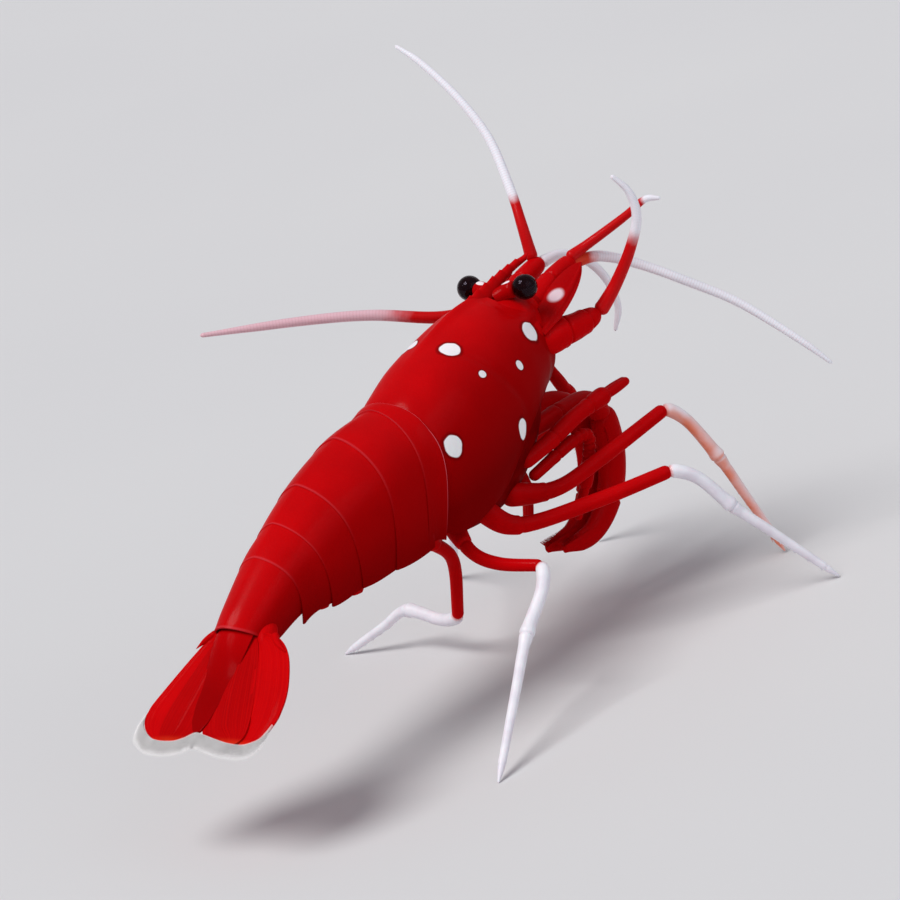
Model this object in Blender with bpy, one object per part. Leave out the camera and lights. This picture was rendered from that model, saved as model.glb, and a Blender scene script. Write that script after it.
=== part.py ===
"""Life-size museum model of a fire shrimp (a cleaner shrimp), standing on the floor.

Lengths are in millimetres until a mesh is made, and Z is up. The head and body are drawn
in the animal's own frame: x forward along the carapace, y to its left, z towards its back.
stand() pitches that frame nose up and lifts it to the height at which the legs carry it.
"""
import math

import bmesh
import bpy
from mathutils import Matrix, Vector

MM = 0.001
GAP = 0.12              # clearance between neighbouring pieces
TRIM = 0.0004           # smallest feature kept when a cut is welded, in mm

# How the body stands
BODY_PITCH = math.radians(8.0)
BODY_HEIGHT = 16.0
ORIGIN_SHIFT = Vector((3.1, -1.7, 0.0))  # puts the origin under the middle of the model's box

# Carapace, from its rear edge to its front edge: share of length, top, bottom, half width
CARAPACE_STATIONS = (
    (0.00, 4.00, -4.10, 3.50),
    (0.14, 4.50, -4.50, 3.80),
    (0.36, 4.92, -4.60, 3.95),
    (0.58, 5.20, -4.45, 3.80),
    (0.78, 5.30, -3.95, 3.42),
    (0.92, 5.15, -3.30, 2.90),
    (1.00, 4.85, -2.70, 2.50),
)
CARAPACE_STEPS = 12
REAR_TOP_X = -4.3
REAR_LEAN = 0.33        # the rear edge runs back as it goes down
FRONT_X = 7.9
FRONT_TURN_Z = 0.2      # height of the front edge's foremost point
FRONT_CURVE_UP = 0.09
FRONT_CURVE_DOWN = 0.22

# Rostrum, the toothed blade between the eyes
ROSTRUM_ROOT_X = 4.2
ROSTRUM_TIP = (11.3, 5.20)
ROSTRUM_TOP = 5.45
ROSTRUM_DROOP = 0.05     # how fast the top edge falls in front of the eyes
ROSTRUM_ROOT_BOTTOM = 4.2
ROSTRUM_EDGE = 0.54      # thickness of the toothed edge
ROSTRUM_FLARE = 0.20     # how fast the lower edge widens towards the carapace
TOOTH_TIPS = (4.6, 6.1, 7.55, 8.95, 10.1)
TOOTH_HEIGHT = 0.36
TOOTH_LENGTH = 0.85

# Underside of the thorax, which carries the legs
THORAX_FRONT_X = 7.0
THORAX_REAR_X = -5.6
THORAX_TOP = -2.6
THORAX_BOTTOM = -6.0
THORAX_HALF_WIDTH = 2.45

# Abdomen: each joint line's back point, belly point and half width, head end first
SOMITE_JOINTS = (
    ((-4.50, 3.75), (-7.15, -4.35), 3.25),
    ((-5.75, 4.10), (-8.30, -4.05), 3.45),
    ((-9.25, 4.30), (-10.90, -3.50), 3.35),
    ((-13.50, 3.65), (-13.60, -3.10), 2.90),
    ((-16.35, 2.75), (-15.95, -2.80), 2.50),
    ((-18.65, 1.90), (-18.20, -2.10), 2.15),
    ((-22.90, -0.10), (-21.00, -2.55), 1.65),
)
SOMITE_STEPS = 3
BELLY_RISE = 0.16       # how far the belly is hollowed between the side flaps, of the depth
REAR_FLARE = 1.03       # each shell ring is a little wider at its rear edge
FRONT_TUCK = 0.985

# Tail fan, drawn in its own plane: d runs back from its root, y to the left
FAN_ROOT = (-22.45, -1.35)
FAN_PITCH = math.radians(27.5)
PLATE_THICKNESS = 0.5
PLATE_LIFT = PLATE_THICKNESS + GAP
TELSON_START = 0.0
TELSON_LENGTH = 6.3
TELSON_POINT = 0.3
TELSON_ROOT_WIDTH = 2.5
TELSON_TIP_WIDTH = 0.9
INNER_BLADES = {
    "right": ((-0.15, 0.30), (-0.10, 1.45), (2.4, 2.5), (4.8, 3.3), (6.3, 3.4), (6.95, 2.7),
              (6.75, 1.5), (6.3, 0.6), (3.0, 0.4)),
    "left": ((-0.15, 0.30), (-0.10, 1.45), (2.4, 2.2), (4.8, 2.8), (6.3, 2.75), (6.95, 1.9),
             (6.8, 1.1), (6.3, 0.5), (3.0, 0.4)),
}
OUTER_BLADES = {
    "right": ((-0.30, 0.9), (-0.30, 2.5), (0.8, 4.1), (2.6, 5.1), (4.4, 5.5), (5.9, 5.15),
              (6.9, 3.9), (6.7, 2.4), (3.2, 1.7)),
    "left": ((-0.26, 0.9), (-0.26, 2.0), (1.4, 3.0), (3.4, 4.0), (5.2, 4.7), (6.4, 4.1),
             (7.0, 2.8), (6.5, 1.8), (3.2, 1.4)),
}

# Swimmerets, the paddles under the abdomen
SWIMMERET_PLACE = 0.55
SWIMMERET_DROP = 0.45
SWIMMERET_SPREAD = 0.36
SWIMMERET_REACH = Vector((2.2, 0.12, -1.4))
SWIMMERET_HALF_WIDTH = 0.70
FIRST_SWIMMERET = 0.7    # the first pair is smaller

# Eyes and their stalks
EYE_CENTRE = (7.80, 2.20, 4.70)
EYE_RADIUS = 0.78
STALK_ROOT = (5.6, 0.75, 3.35)

# Limbs and feelers
TUBE_SIDES_RESOLUTION = 2
PATH_STEPS = 2           # lengths between two given points of a limb's line
TIP_RADIUS = 0.25       # nothing is thinner than half a millimetre
SIDES = (("right", -1), ("left", 1))

# Feelers, in the animal's frame
ANTENNULE_BASE = ((5.9, 0.95, 2.2), (8.4, 1.08, 2.85), (11.0, 1.18, 3.25), (13.5, 1.25, 3.42))
ANTENNULE_BASE_RADII = (0.70, 0.72, 0.66, 0.62)
ANTENNULE_WHIPS = {
    "right_outer": ((13.8, -1.35, 3.15), (15.2, -2.0, 2.7), (16.6, -3.5, 1.3), (17.8, -5.8, -0.7),
                    (19.0, -8.0, -2.9), (20.0, -10.7, -6.1), (20.6, -12.0, -8.1)),
    "left_outer": ((13.1, 1.5, 4.25), (13.7, 1.9, 5.75), (14.9, 2.9, 7.5), (16.6, 4.7, 10.3),
                   (17.4, 6.7, 12.8), (17.9, 9.1, 15.1), (18.0, 10.8, 16.4)),
    "right_inner": ((13.8, -1.25, 3.95), (14.6, -1.95, 4.08), (15.4, -2.9, 4.3), (16.3, -4.2, 4.9),
                    (17.1, -5.3, 5.5), (17.6, -6.1, 5.3)),
    "left_inner": ((13.8, 1.15, 3.35), (15.0, 0.95, 3.0), (16.5, 0.6, 1.8), (17.3, 0.25, 0.0),
                   (17.3, 0.1, -1.9), (16.7, 0.5, -3.4)),
}
ANTENNULE_WHIP_RADII = (0.36, 0.36, 0.33, 0.30, TIP_RADIUS)
ANTENNA_BASE = ((6.9, 1.9, 0.9), (8.6, 2.35, 0.9), (10.2, 2.70, 0.6), (12.2, 3.0, 0.4))
ANTENNA_BASE_RADII = (1.05, 1.1, 0.72, 0.55)
ANTENNA_WHIPS = {
    "right": ((12.65, -3.35, 0.8), (13.5, -4.1, 1.8), (14.4, -5.2, 3.5), (15.1, -6.0, 5.3),
              (15.25, -6.0, 7.0), (14.8, -5.5, 8.4)),
    "left": ((12.7, 3.55, 0.55), (11.9, 5.0, 1.1), (9.3, 7.0, 1.9), (7.2, 10.5, 3.3),
             (4.8, 14.0, 4.3), (0.7, 18.5, 5.7)),
}
ANTENNA_WHIP_RADII = (0.45, 0.42, 0.38, 0.35, 0.31, 0.27)
SCALE_ROOT = Vector((7.9, 2.9, 2.15))
SCALE_TIP = Vector((12.4, 3.05, 3.9))
SCALE_OUTWARD = Vector((0.0, 0.86, -0.51))
SCALE_HALF_WIDTH = 1.0

# Limbs under the head
MOUTH_LEG = ((4.1, 1.6, -3.3), (7.5, 1.5, -3.85), (10.3, 1.25, -4.7), (11.5, 1.0, -6.4),
             (11.2, 0.88, -9.0), (9.7, 0.82, -11.1), (7.2, 0.75, -12.2), (4.3, 0.68, -11.7))
MOUTH_LEG_ELBOW = 6      # the step of its path at which it is divided
CLAW_LEGS = {
    "1_right": ((1.8, -2.5, -4.2), (4.3, -3.0, -4.0), (7.3, -3.3, -3.75), (11.8, -3.8, -3.96)),
    "1_left": ((3.8, 2.5, -4.2), (8.5, 3.3, -5.6), (13.4, 3.3, -6.9), (11.5, 2.0, -2.8)),
    "2_right": ((2.4, -2.2, -5.5), (7.2, -3.0, -5.25), (6.9, -2.5, -7.6), (4.9, -2.0, -10.2)),
    "2_left": ((1.9, 2.0, -5.5), (6.6, 3.4, -6.9), (6.7, 2.8, -8.8), (4.9, 2.2, -11.0)),
}
CLAW_LEG_RADII = {1: (0.50, 0.56, 0.58, 0.56, 0.50, 0.34), 2: (0.42, 0.44, 0.40, 0.36, 0.40, TIP_RADIUS)}
MOUTH_LEG_RADII = (0.55, 0.62, 0.68, 0.74, 0.72, 0.62, 0.5, 0.3)

# Walking legs: hip in the animal's frame, then thigh, knee, ankle and foot in the standing one
WALKING_LEGS = {
    "leg_3_right": ((0.2, -1.5, -5.4), ((4.1, -3.0, 9.8), (7.9, -3.8, 10.2)),
                    (13.0, -5.4, 11.4), (15.1, -6.8, 7.2), (17.3, -8.2, 0.0)),
    "leg_4_right": ((-2.0, -1.5, -4.9), ((0.2, -3.0, 9.1), (4.1, -6.2, 9.1)),
                    (7.8, -9.2, 9.5), (10.1, -11.3, 6.1), (13.7, -15.0, 0.0)),
    "leg_5_right": ((-4.2, -1.2, -4.7), ((-4.4, -3.0, 9.35), (-4.5, -5.0, 8.65)),
                    (-4.1, -8.0, 8.4), (-8.0, -8.9, 5.6), (-16.2, -11.4, 0.0)),
    "leg_3_left": ((0.2, 1.5, -5.4), ((5.0, 3.9, 8.6), (11.0, 5.0, 9.6)),
                   (16.5, 5.2, 10.3), (18.3, 5.9, 6.1), (18.5, 7.8, 0.0)),
    "leg_4_left": ((-2.0, 1.5, -4.9), ((0.4, 3.0, 9.4), (4.1, 6.2, 9.5)),
                   (7.7, 9.1, 9.7), (10.0, 11.3, 6.0), (12.5, 15.2, 0.0)),
    "leg_5_left": ((-4.2, 1.2, -4.7), ((-2.6, 1.7, 9.2), (-0.5, 2.4, 7.0)),
                   (0.9, 4.6, 2.6), (1.5, 9.3, 2.7), (0.5, 14.6, 0.0)),
}
THIGH_RADII = (0.44, 0.48, 0.46, 0.38)
SHIN_RADII = (0.38, 0.34, 0.31, 0.28, TIP_RADIUS)
SHIN_BOW = 0.45         # the first length of a shin arches away from the knee's inner side

RED = (0.55, 0.004, 0.006)
DARK_RED = (0.30, 0.002, 0.004)
WHITE = (0.86, 0.86, 0.90)
BLACK = (0.006, 0.004, 0.008)


def clear_scene():
    for obj in list(bpy.data.objects):
        bpy.data.objects.remove(obj, do_unlink=True)


def new_collection(name, hidden=False):
    collection = bpy.data.collections.new(name)
    collection.hide_render = hidden
    bpy.context.scene.collection.children.link(collection)
    return collection


def new_material(name, colour, roughness):
    material = bpy.data.materials.new(name)
    material.use_nodes = True
    shader = material.node_tree.nodes["Principled BSDF"]
    shader.inputs["Base Color"].default_value = (*colour, 1.0)
    shader.inputs["Roughness"].default_value = roughness
    shader.inputs["Metallic"].default_value = 0.0
    return material


def stand(point):
    """Turns a point of the animal's own frame into one of the standing model, in mm."""
    x, y, z = point
    cos_p, sin_p = math.cos(BODY_PITCH), math.sin(BODY_PITCH)
    return Vector((x * cos_p - z * sin_p, y, BODY_HEIGHT + x * sin_p + z * cos_p))


def to_side(point, side):
    """A point drawn for the left side, on the side asked for."""
    return Vector((point[0], point[1] * side, point[2]))


def finish_object(name, bm, collection, material):
    """Makes the object from a mesh drawn in mm, shifted so that the origin is under its box."""
    bmesh.ops.recalc_face_normals(bm, faces=bm.faces)
    bmesh.ops.transform(bm, matrix=Matrix.Scale(MM, 4) @ Matrix.Translation(ORIGIN_SHIFT),
                        verts=bm.verts)
    mesh = bpy.data.meshes.new(name)
    bm.to_mesh(mesh)
    bm.free()
    obj = bpy.data.objects.new(name, mesh)
    collection.objects.link(obj)
    mesh.materials.append(material)
    mesh.shade_smooth()
    mesh.set_sharp_from_angle(angle=math.radians(40))
    return obj


def loft(rings):
    """A closed body through rings of equal length, with a fan of faces over each end."""
    bm = bmesh.new()
    loops = [[bm.verts.new(point) for point in ring] for ring in rings]
    count = len(loops[0])
    for near, far in zip(loops, loops[1:]):
        for i in range(count):
            j = (i + 1) % count
            bm.faces.new((near[i], near[j], far[j], far[i]))
    for end in (loops[0], loops[-1]):
        middle = bm.verts.new(sum((vert.co for vert in end), Vector()) / count)
        for i in range(count):
            bm.faces.new((end[i], end[(i + 1) % count], middle))
    return bm


def interpolate(stations, share):
    """Values between the rows of a station table, read at a share of its length."""
    rows = list(stations)
    for low, high in zip(rows, rows[1:]):
        if share <= high[0]:
            break
    part = (share - low[0]) / (high[0] - low[0])
    return [a + (b - a) * part for a, b in zip(low[1:], high[1:])]


def shell_section(top, bottom, half_width, belly_rise, grow):
    """Half-round back, steep sides and a raised belly, as (y, z) points round the ring."""
    top += grow
    bottom -= grow
    half_width += grow
    shoulder = bottom + 0.48 * (top - bottom)
    arc_steps = 12
    points = []
    for i in range(arc_steps + 1):
        angle = math.pi * (i / arc_steps - 0.5)
        height = math.cos(angle) ** 0.9
        points.append((half_width * math.sin(angle), shoulder + (top - shoulder) * height))
    side = ((0.97, 0.45), (0.84, 0.0))
    for width, share in side:
        points.append((half_width * width, bottom + (shoulder - bottom) * share))
    points.append((half_width * 0.60, bottom + belly_rise - grow))
    points.append((0.0, bottom + belly_rise * 1.15 - grow))
    points.append((-half_width * 0.60, bottom + belly_rise - grow))
    for width, share in reversed(side):
        points.append((-half_width * width, bottom + (shoulder - bottom) * share))
    return points


def carapace_x(share, z):
    """Where a share of the carapace's length lies at one height, between its curved edges."""
    rear = REAR_TOP_X - REAR_LEAN * (CARAPACE_STATIONS[0][1] - z)
    rise = z - FRONT_TURN_Z
    curve = FRONT_CURVE_UP if rise > 0 else FRONT_CURVE_DOWN
    front = FRONT_X - curve * rise * rise
    return rear + (front - rear) * share


def carapace_body(grow=0.0):
    rings = []
    for i in range(CARAPACE_STEPS + 1):
        share = i / CARAPACE_STEPS
        top, bottom, half_width = interpolate(CARAPACE_STATIONS, share)
        end = grow * (2 * share - 1) if i in (0, CARAPACE_STEPS) else 0.0
        section = shell_section(top, bottom, half_width, 0.9, grow)
        rings.append([stand((carapace_x(share, z) + end, y, z)) for y, z in section])
    return loft(rings)


def rostrum_top(x):
    """The toothed edge runs level over the carapace and falls a little in front of the eyes."""
    ahead = max(0.0, x - EYE_CENTRE[0])
    return ROSTRUM_TOP - ROSTRUM_DROOP * ahead * ahead / 2


def rostrum_outline():
    """The blade's side view: a rising lower edge and forward-pointing teeth on top."""
    tip_x, tip_z = ROSTRUM_TIP
    outline = [(ROSTRUM_ROOT_X, ROSTRUM_ROOT_BOTTOM), (tip_x - 3.4, tip_z - 0.72),
               (tip_x - 0.9, tip_z - 0.30), ROSTRUM_TIP]
    for tooth_x in reversed(TOOTH_TIPS):
        outline.append((tooth_x + 0.12, rostrum_top(tooth_x)))
        outline.append((tooth_x, rostrum_top(tooth_x) + TOOTH_HEIGHT))
        outline.append((tooth_x - TOOTH_LENGTH, rostrum_top(tooth_x - TOOTH_LENGTH)))
    return outline


def rostrum_half_thickness(x, z):
    """Thin along the toothed edge, and flaring below it into the carapace between the eyes."""
    flare = ROSTRUM_FLARE * max(0.0, ROSTRUM_TIP[0] - 2.0 - x)
    depth = max(0.0, min(1.0, ROSTRUM_TOP - 0.2 - z))
    return ROSTRUM_EDGE / 2 + flare * depth


def rostrum_body():
    bm = bmesh.new()
    faces = []
    for side in (-1, 1):
        verts = [bm.verts.new(stand((x, side * rostrum_half_thickness(x, z), z)))
                 for x, z in rostrum_outline()]
        faces.append(bm.faces.new(verts))
    near, far = [list(face.verts) for face in faces]
    count = len(near)
    for i in range(count):
        j = (i + 1) % count
        bm.faces.new((near[i], near[j], far[j], far[i]))
    bmesh.ops.triangulate(bm, faces=bm.faces)
    return bm


def apply_boolean(obj, other, operation):
    """Cuts or joins at once, so that a cutter made for one cut can be used for the next."""
    modifier = obj.modifiers.new(operation.lower(), "BOOLEAN")
    modifier.operation = operation
    modifier.solver = "EXACT"
    modifier.object = other
    bpy.context.view_layer.update()
    graph = bpy.context.evaluated_depsgraph_get()
    mesh = bpy.data.meshes.new_from_object(obj.evaluated_get(graph))
    obj.modifiers.remove(modifier)
    old = obj.data
    obj.data = mesh
    bpy.data.meshes.remove(old)
    bm = bmesh.new()
    bm.from_mesh(mesh)
    bmesh.ops.remove_doubles(bm, verts=bm.verts, dist=TRIM * MM)
    bmesh.ops.dissolve_degenerate(bm, edges=bm.edges, dist=TRIM * MM)
    bm.to_mesh(mesh)
    bm.free()


def trim(obj, cutters):
    for cutter in cutters:
        apply_boolean(obj, cutter, "DIFFERENCE")


def make_carapace(parts, cutters, paint):
    carapace = finish_object("carapace", carapace_body(), parts, paint["shell"])
    blade = finish_object("rostrum_blade", rostrum_body(), cutters, paint["shell"])
    apply_boolean(carapace, blade, "UNION")
    bpy.data.objects.remove(blade, do_unlink=True)
    cutter = finish_object("carapace_cutter", carapace_body(GAP), cutters, paint["shell"])
    return carapace, cutter


def thorax_body(grow=0.0):
    """A keel-shaped block under the carapace, between the roots of the legs."""
    rings = []
    steps = 7
    for i in range(steps + 1):
        share = i / steps
        fullness = 0.62 + 0.38 * math.sin(math.pi * min(1.0, 0.12 + 0.8 * share))
        rise = 1.3 * share ** 2
        x = THORAX_REAR_X + (THORAX_FRONT_X - THORAX_REAR_X) * share
        x += grow if i == steps else (-grow if i == 0 else 0.0)
        half_width = THORAX_HALF_WIDTH * fullness + grow
        bottom = THORAX_BOTTOM + rise + (1 - fullness) - grow
        ring = [(-half_width, THORAX_TOP + grow), (-half_width, bottom + 1.6),
                (-half_width * 0.72, bottom + 0.45), (-half_width * 0.3, bottom),
                (half_width * 0.3, bottom), (half_width * 0.72, bottom + 0.45),
                (half_width, bottom + 1.6), (half_width, THORAX_TOP + grow)]
        rings.append([stand((x, y, z)) for y, z in ring])
    return loft(rings)


def make_thorax(parts, cutters, paint, carapace_cutter):
    thorax = finish_object("thorax_underside", thorax_body(), parts, paint["shell_dark"])
    trim(thorax, [carapace_cutter])
    return finish_object("thorax_cutter", thorax_body(GAP), cutters, paint["shell_dark"])


def somite_ring(position, scale):
    """The abdomen's section at a joint number, which may lie between two joints."""
    index = min(int(position), len(SOMITE_JOINTS) - 2)
    part = position - index
    low, high = SOMITE_JOINTS[index], SOMITE_JOINTS[index + 1]
    back = Vector(low[0]).lerp(Vector(high[0]), part)
    belly = Vector(low[1]).lerp(Vector(high[1]), part)
    half_width = low[2] + (high[2] - low[2]) * part
    bulge = 1.0 + 0.02 * math.sin(math.pi * part)
    length = (back - belly).length
    section = shell_section(length, 0.0, half_width * scale, BELLY_RISE * length, 0.0)
    ring = []
    for y, height in section:
        point = belly + (back - belly) * (height / length) * scale * bulge
        ring.append(stand((point.x, y, point.y)))
    return ring


def make_abdomen(parts, paint):
    for number in range(1, len(SOMITE_JOINTS)):
        back_length = (Vector(SOMITE_JOINTS[number][0]) - Vector(SOMITE_JOINTS[number - 1][0])).length
        belly_length = (Vector(SOMITE_JOINTS[number][1]) - Vector(SOMITE_JOINTS[number - 1][1])).length
        margin = GAP / 2 / min(back_length, belly_length)
        rings = []
        for i in range(SOMITE_STEPS + 1):
            share = i / SOMITE_STEPS
            position = number - 1 + margin + (1 - 2 * margin) * share
            rings.append(somite_ring(position, FRONT_TUCK + (REAR_FLARE - FRONT_TUCK) * share ** 2))
        finish_object(f"abdomen_{number}", loft(rings), parts, paint["shell"])


def fan_point(distance, y, lift):
    """A point of the tail fan: distance back from its root, y to the left, lift off its plane."""
    cos_p, sin_p = math.cos(FAN_PITCH), math.sin(FAN_PITCH)
    return stand((FAN_ROOT[0] - distance * cos_p - lift * sin_p, y,
                  FAN_ROOT[1] - distance * sin_p + lift * cos_p))


def plate(outline, lift):
    """A thin plate with rounded rims, drawn as its outline in the plane of the tail fan."""
    middle_x = sum(point[0] for point in outline) / len(outline)
    middle_y = sum(point[1] for point in outline) / len(outline)
    rings = []
    for level, inset in ((0.0, 0.12), (0.25, 0.0), (0.75, 0.0), (1.0, 0.12)):
        ring = []
        for x, y in outline:
            reach = math.hypot(x - middle_x, y - middle_y)
            scale = 1.0 - inset / reach
            ring.append(fan_point(middle_x + (x - middle_x) * scale,
                                  middle_y + (y - middle_y) * scale,
                                  lift + (level - 0.5) * PLATE_THICKNESS))
        rings.append(ring)
    return loft(rings)


def telson_outline():
    steps = 5
    points = []
    for side in (1, -1):
        edge = []
        for i in range(steps + 1):
            share = i / steps
            width = TELSON_ROOT_WIDTH + (TELSON_TIP_WIDTH - TELSON_ROOT_WIDTH) * share ** 0.8
            edge.append((TELSON_START + (TELSON_LENGTH - TELSON_POINT) * share, side * width / 2))
        points += edge if side == 1 else edge[::-1]
        if side == 1:
            points.append((TELSON_START + TELSON_LENGTH, 0.0))
    return points


def rounded_outline(corners, side):
    """A smooth closed outline through a blade's corners, given as distance and reach outwards."""
    points = [Vector(corner) for corner in corners]
    outline = []
    for i in range(len(points)):
        around = [points[(i + k) % len(points)] for k in (-1, 0, 1, 2)]
        for t in (0.0, 0.5):
            point = curve_point(around, t)
            outline.append((point.x, point.y * side))
    return outline


def leaf_width(share, fullness_at):
    """From about half at the root through 1 at its broadest to 0 at the round tip."""
    if share < fullness_at:
        return 0.45 + 0.55 * math.sin(math.pi / 2 * share / fullness_at)
    return math.sqrt(max(0.0, 1 - ((share - fullness_at) / (1 - fullness_at)) ** 2.4))


def make_tail_fan(parts, paint):
    """The telson on top, and on each side an inner and an outer blade below it."""
    finish_object("telson", plate(telson_outline(), PLATE_LIFT), parts, paint["shell"])
    for name, side in SIDES:
        inner = rounded_outline(INNER_BLADES[name], side)
        finish_object(f"uropod_{name}_inner", plate(inner, 0.0), parts, paint["shell"])
        outer = rounded_outline(OUTER_BLADES[name], side)
        finish_object(f"uropod_{name}_outer", plate(outer, -PLATE_LIFT), parts, paint["shell"])


def curve_point(around, t):
    """A point of the Catmull-Rom curve between the middle two of four points."""
    a, b, c, d = around
    return 0.5 * ((2 * b) + (c - a) * t + (2 * a - 5 * b + 4 * c - d) * t ** 2
                  + (3 * b - a - 3 * c + d) * t ** 3)


def smooth_path(points, steps):
    """Catmull-Rom curve through the points, with a few steps between each two."""
    ends = [points[0] * 2 - points[1], *points, points[-1] * 2 - points[-2]]
    path = []
    for around in zip(ends, ends[1:], ends[2:], ends[3:]):
        path += [curve_point(around, i / steps) for i in range(steps)]
    return path + [points[-1]]


def taper(radii, count):
    """Radii at even steps along a path, from a few given ones."""
    values = []
    for i in range(count):
        place = i / (count - 1) * (len(radii) - 1)
        low = min(int(place), len(radii) - 2)
        values.append(radii[low] + (radii[low + 1] - radii[low]) * (place - low))
    return values


def tube(path, radii):
    """A round bar along a path, as a curve with a bevel and filled caps made into a mesh."""
    curve = bpy.data.curves.new("tube", "CURVE")
    curve.dimensions = "3D"
    curve.bevel_depth = 1.0
    curve.bevel_resolution = TUBE_SIDES_RESOLUTION
    curve.use_fill_caps = True
    spline = curve.splines.new("POLY")
    spline.points.add(len(path) - 1)
    for point, place, radius in zip(spline.points, path, taper(radii, len(path))):
        point.co = (*place, 1.0)
        point.radius = radius
    obj = bpy.data.objects.new("tube", curve)
    bpy.context.scene.collection.objects.link(obj)
    bpy.context.view_layer.update()
    graph = bpy.context.evaluated_depsgraph_get()
    mesh = bpy.data.meshes.new_from_object(obj.evaluated_get(graph))
    bpy.data.objects.remove(obj, do_unlink=True)
    bm = bmesh.new()
    bm.from_mesh(mesh)
    bpy.data.meshes.remove(mesh)
    bmesh.ops.remove_doubles(bm, verts=bm.verts, dist=TRIM)
    return bm


def slice_off(bm, point, normal):
    """Takes away what lies past a plane and closes the cut with one flat face."""
    geometry = bm.verts[:] + bm.edges[:] + bm.faces[:]
    cut = bmesh.ops.bisect_plane(bm, geom=geometry, dist=1e-5, plane_co=point,
                                 plane_no=normal, clear_outer=True)
    edges = [item for item in cut["geom_cut"] if isinstance(item, bmesh.types.BMEdge)]
    bmesh.ops.holes_fill(bm, edges=edges, sides=0)


def flat_on_floor(bm):
    slice_off(bm, (0, 0, 0), (0, 0, -1))


def make_eyes(parts, cutters, paint, body_cutters):
    for name, side in SIDES:
        centre = stand(to_side(EYE_CENTRE, side))
        for label, grow, collection in (("eye", 0.0, parts), ("eye_cutter", GAP, cutters)):
            bm = bmesh.new()
            bmesh.ops.create_uvsphere(bm, u_segments=14, v_segments=10, radius=EYE_RADIUS + grow)
            bmesh.ops.translate(bm, vec=centre, verts=bm.verts)
            made = finish_object(f"{label}_{name}", bm, collection, paint["eye"])
        stalk_path = [stand(to_side(STALK_ROOT, side)), stand(to_side((6.75, 1.55, 4.05), side)),
                      centre]
        stalk = finish_object(f"eyestalk_{name}", tube(stalk_path, (0.48, 0.54, 0.68)),
                              parts, paint["shell"])
        trim(stalk, [made, *body_cutters])


def make_antennules(parts, paint, body_cutters):
    """The upper pair of feelers: a three-jointed base and two whips on each side."""
    for name, side in SIDES:
        base = [stand(to_side(point, side)) for point in ANTENNULE_BASE]
        base_body = finish_object(f"antennule_{name}_base",
                                  tube(smooth_path(base, PATH_STEPS), ANTENNULE_BASE_RADII),
                                  parts, paint["shell"])
        trim(base_body, body_cutters)
        for whip in ("outer", "inner"):
            route = [stand(point) for point in ANTENNULE_WHIPS[f"{name}_{whip}"]]
            finish_object(f"antennule_{name}_{whip}",
                          tube(smooth_path(route, PATH_STEPS), ANTENNULE_WHIP_RADII),
                          parts, paint["white"])


def make_antennae(parts, paint, body_cutters):
    """The lower pair: a stout base with a leaf-shaped scale, and one long whip."""
    for name, side in SIDES:
        base = [stand(to_side(point, side)) for point in ANTENNA_BASE]
        base_body = finish_object(f"antenna_{name}_base",
                                  tube(smooth_path(base, PATH_STEPS), ANTENNA_BASE_RADII),
                                  parts, paint["shell"])
        trim(base_body, body_cutters)
        route = [stand(point) for point in ANTENNA_WHIPS[name]]
        finish_object(f"antenna_{name}", tube(smooth_path(route, PATH_STEPS), ANTENNA_WHIP_RADII),
                      parts, paint["white"])
        scale = finish_object(f"antenna_scale_{name}", scale_body(side), parts, paint["shell"])
        trim(scale, body_cutters)


def scale_body(side):
    """The antennal scale: a leaf that slopes down towards its outer edge."""
    lift = (SCALE_TIP - SCALE_ROOT).cross(SCALE_OUTWARD).normalized() * (PLATE_THICKNESS / 2)
    rings = []
    steps = 7
    for i in range(steps + 1):
        share = i / steps
        width = SCALE_HALF_WIDTH * max(0.16, leaf_width(share, 0.42))
        centre = SCALE_ROOT.lerp(SCALE_TIP, share)
        rim = SCALE_OUTWARD * width
        inner = rim * 0.85
        corners = (centre - rim, centre - inner - lift, centre + inner - lift, centre + rim,
                   centre + inner + lift, centre - inner + lift)
        rings.append([stand(to_side(corner, side)) for corner in corners])
    return loft(rings)


def make_mouth_legs(parts, paint, body_cutters):
    """The third maxillipeds, the long feelers of the mouth that hang in front of the chest."""
    for name, side in SIDES:
        path = smooth_path([stand(to_side(point, side)) for point in MOUTH_LEG], PATH_STEPS)
        radii = taper(MOUTH_LEG_RADII, len(path))
        along = (path[MOUTH_LEG_ELBOW + 1] - path[MOUTH_LEG_ELBOW - 1]).normalized()
        margin = along * (GAP / 2)
        bm = tube(path[:MOUTH_LEG_ELBOW + 2], radii[:MOUTH_LEG_ELBOW + 2])
        slice_off(bm, path[MOUTH_LEG_ELBOW] - margin, along)
        upper = finish_object(f"mouth_leg_{name}_upper", bm, parts, paint["shell"])
        trim(upper, body_cutters)
        bm = tube(path[MOUTH_LEG_ELBOW - 1:], radii[MOUTH_LEG_ELBOW - 1:])
        slice_off(bm, path[MOUTH_LEG_ELBOW] + margin, -along)
        finish_object(f"mouth_leg_{name}_lower", bm, parts, paint["shell"])


def make_claw_legs(parts, paint, body_cutters):
    """The first two pairs of legs, which end in small claws and are held up to the mouth."""
    for name, side in SIDES:
        for pair, steps in ((1, 3), (2, 3)):
            path = smooth_path([stand(point) for point in CLAW_LEGS[f"{pair}_{name}"]], steps)
            body = finish_object(f"claw_leg_{pair}_{name}", tube(path, CLAW_LEG_RADII[pair]),
                                 parts, paint["shell"])
            trim(body, body_cutters)


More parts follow.
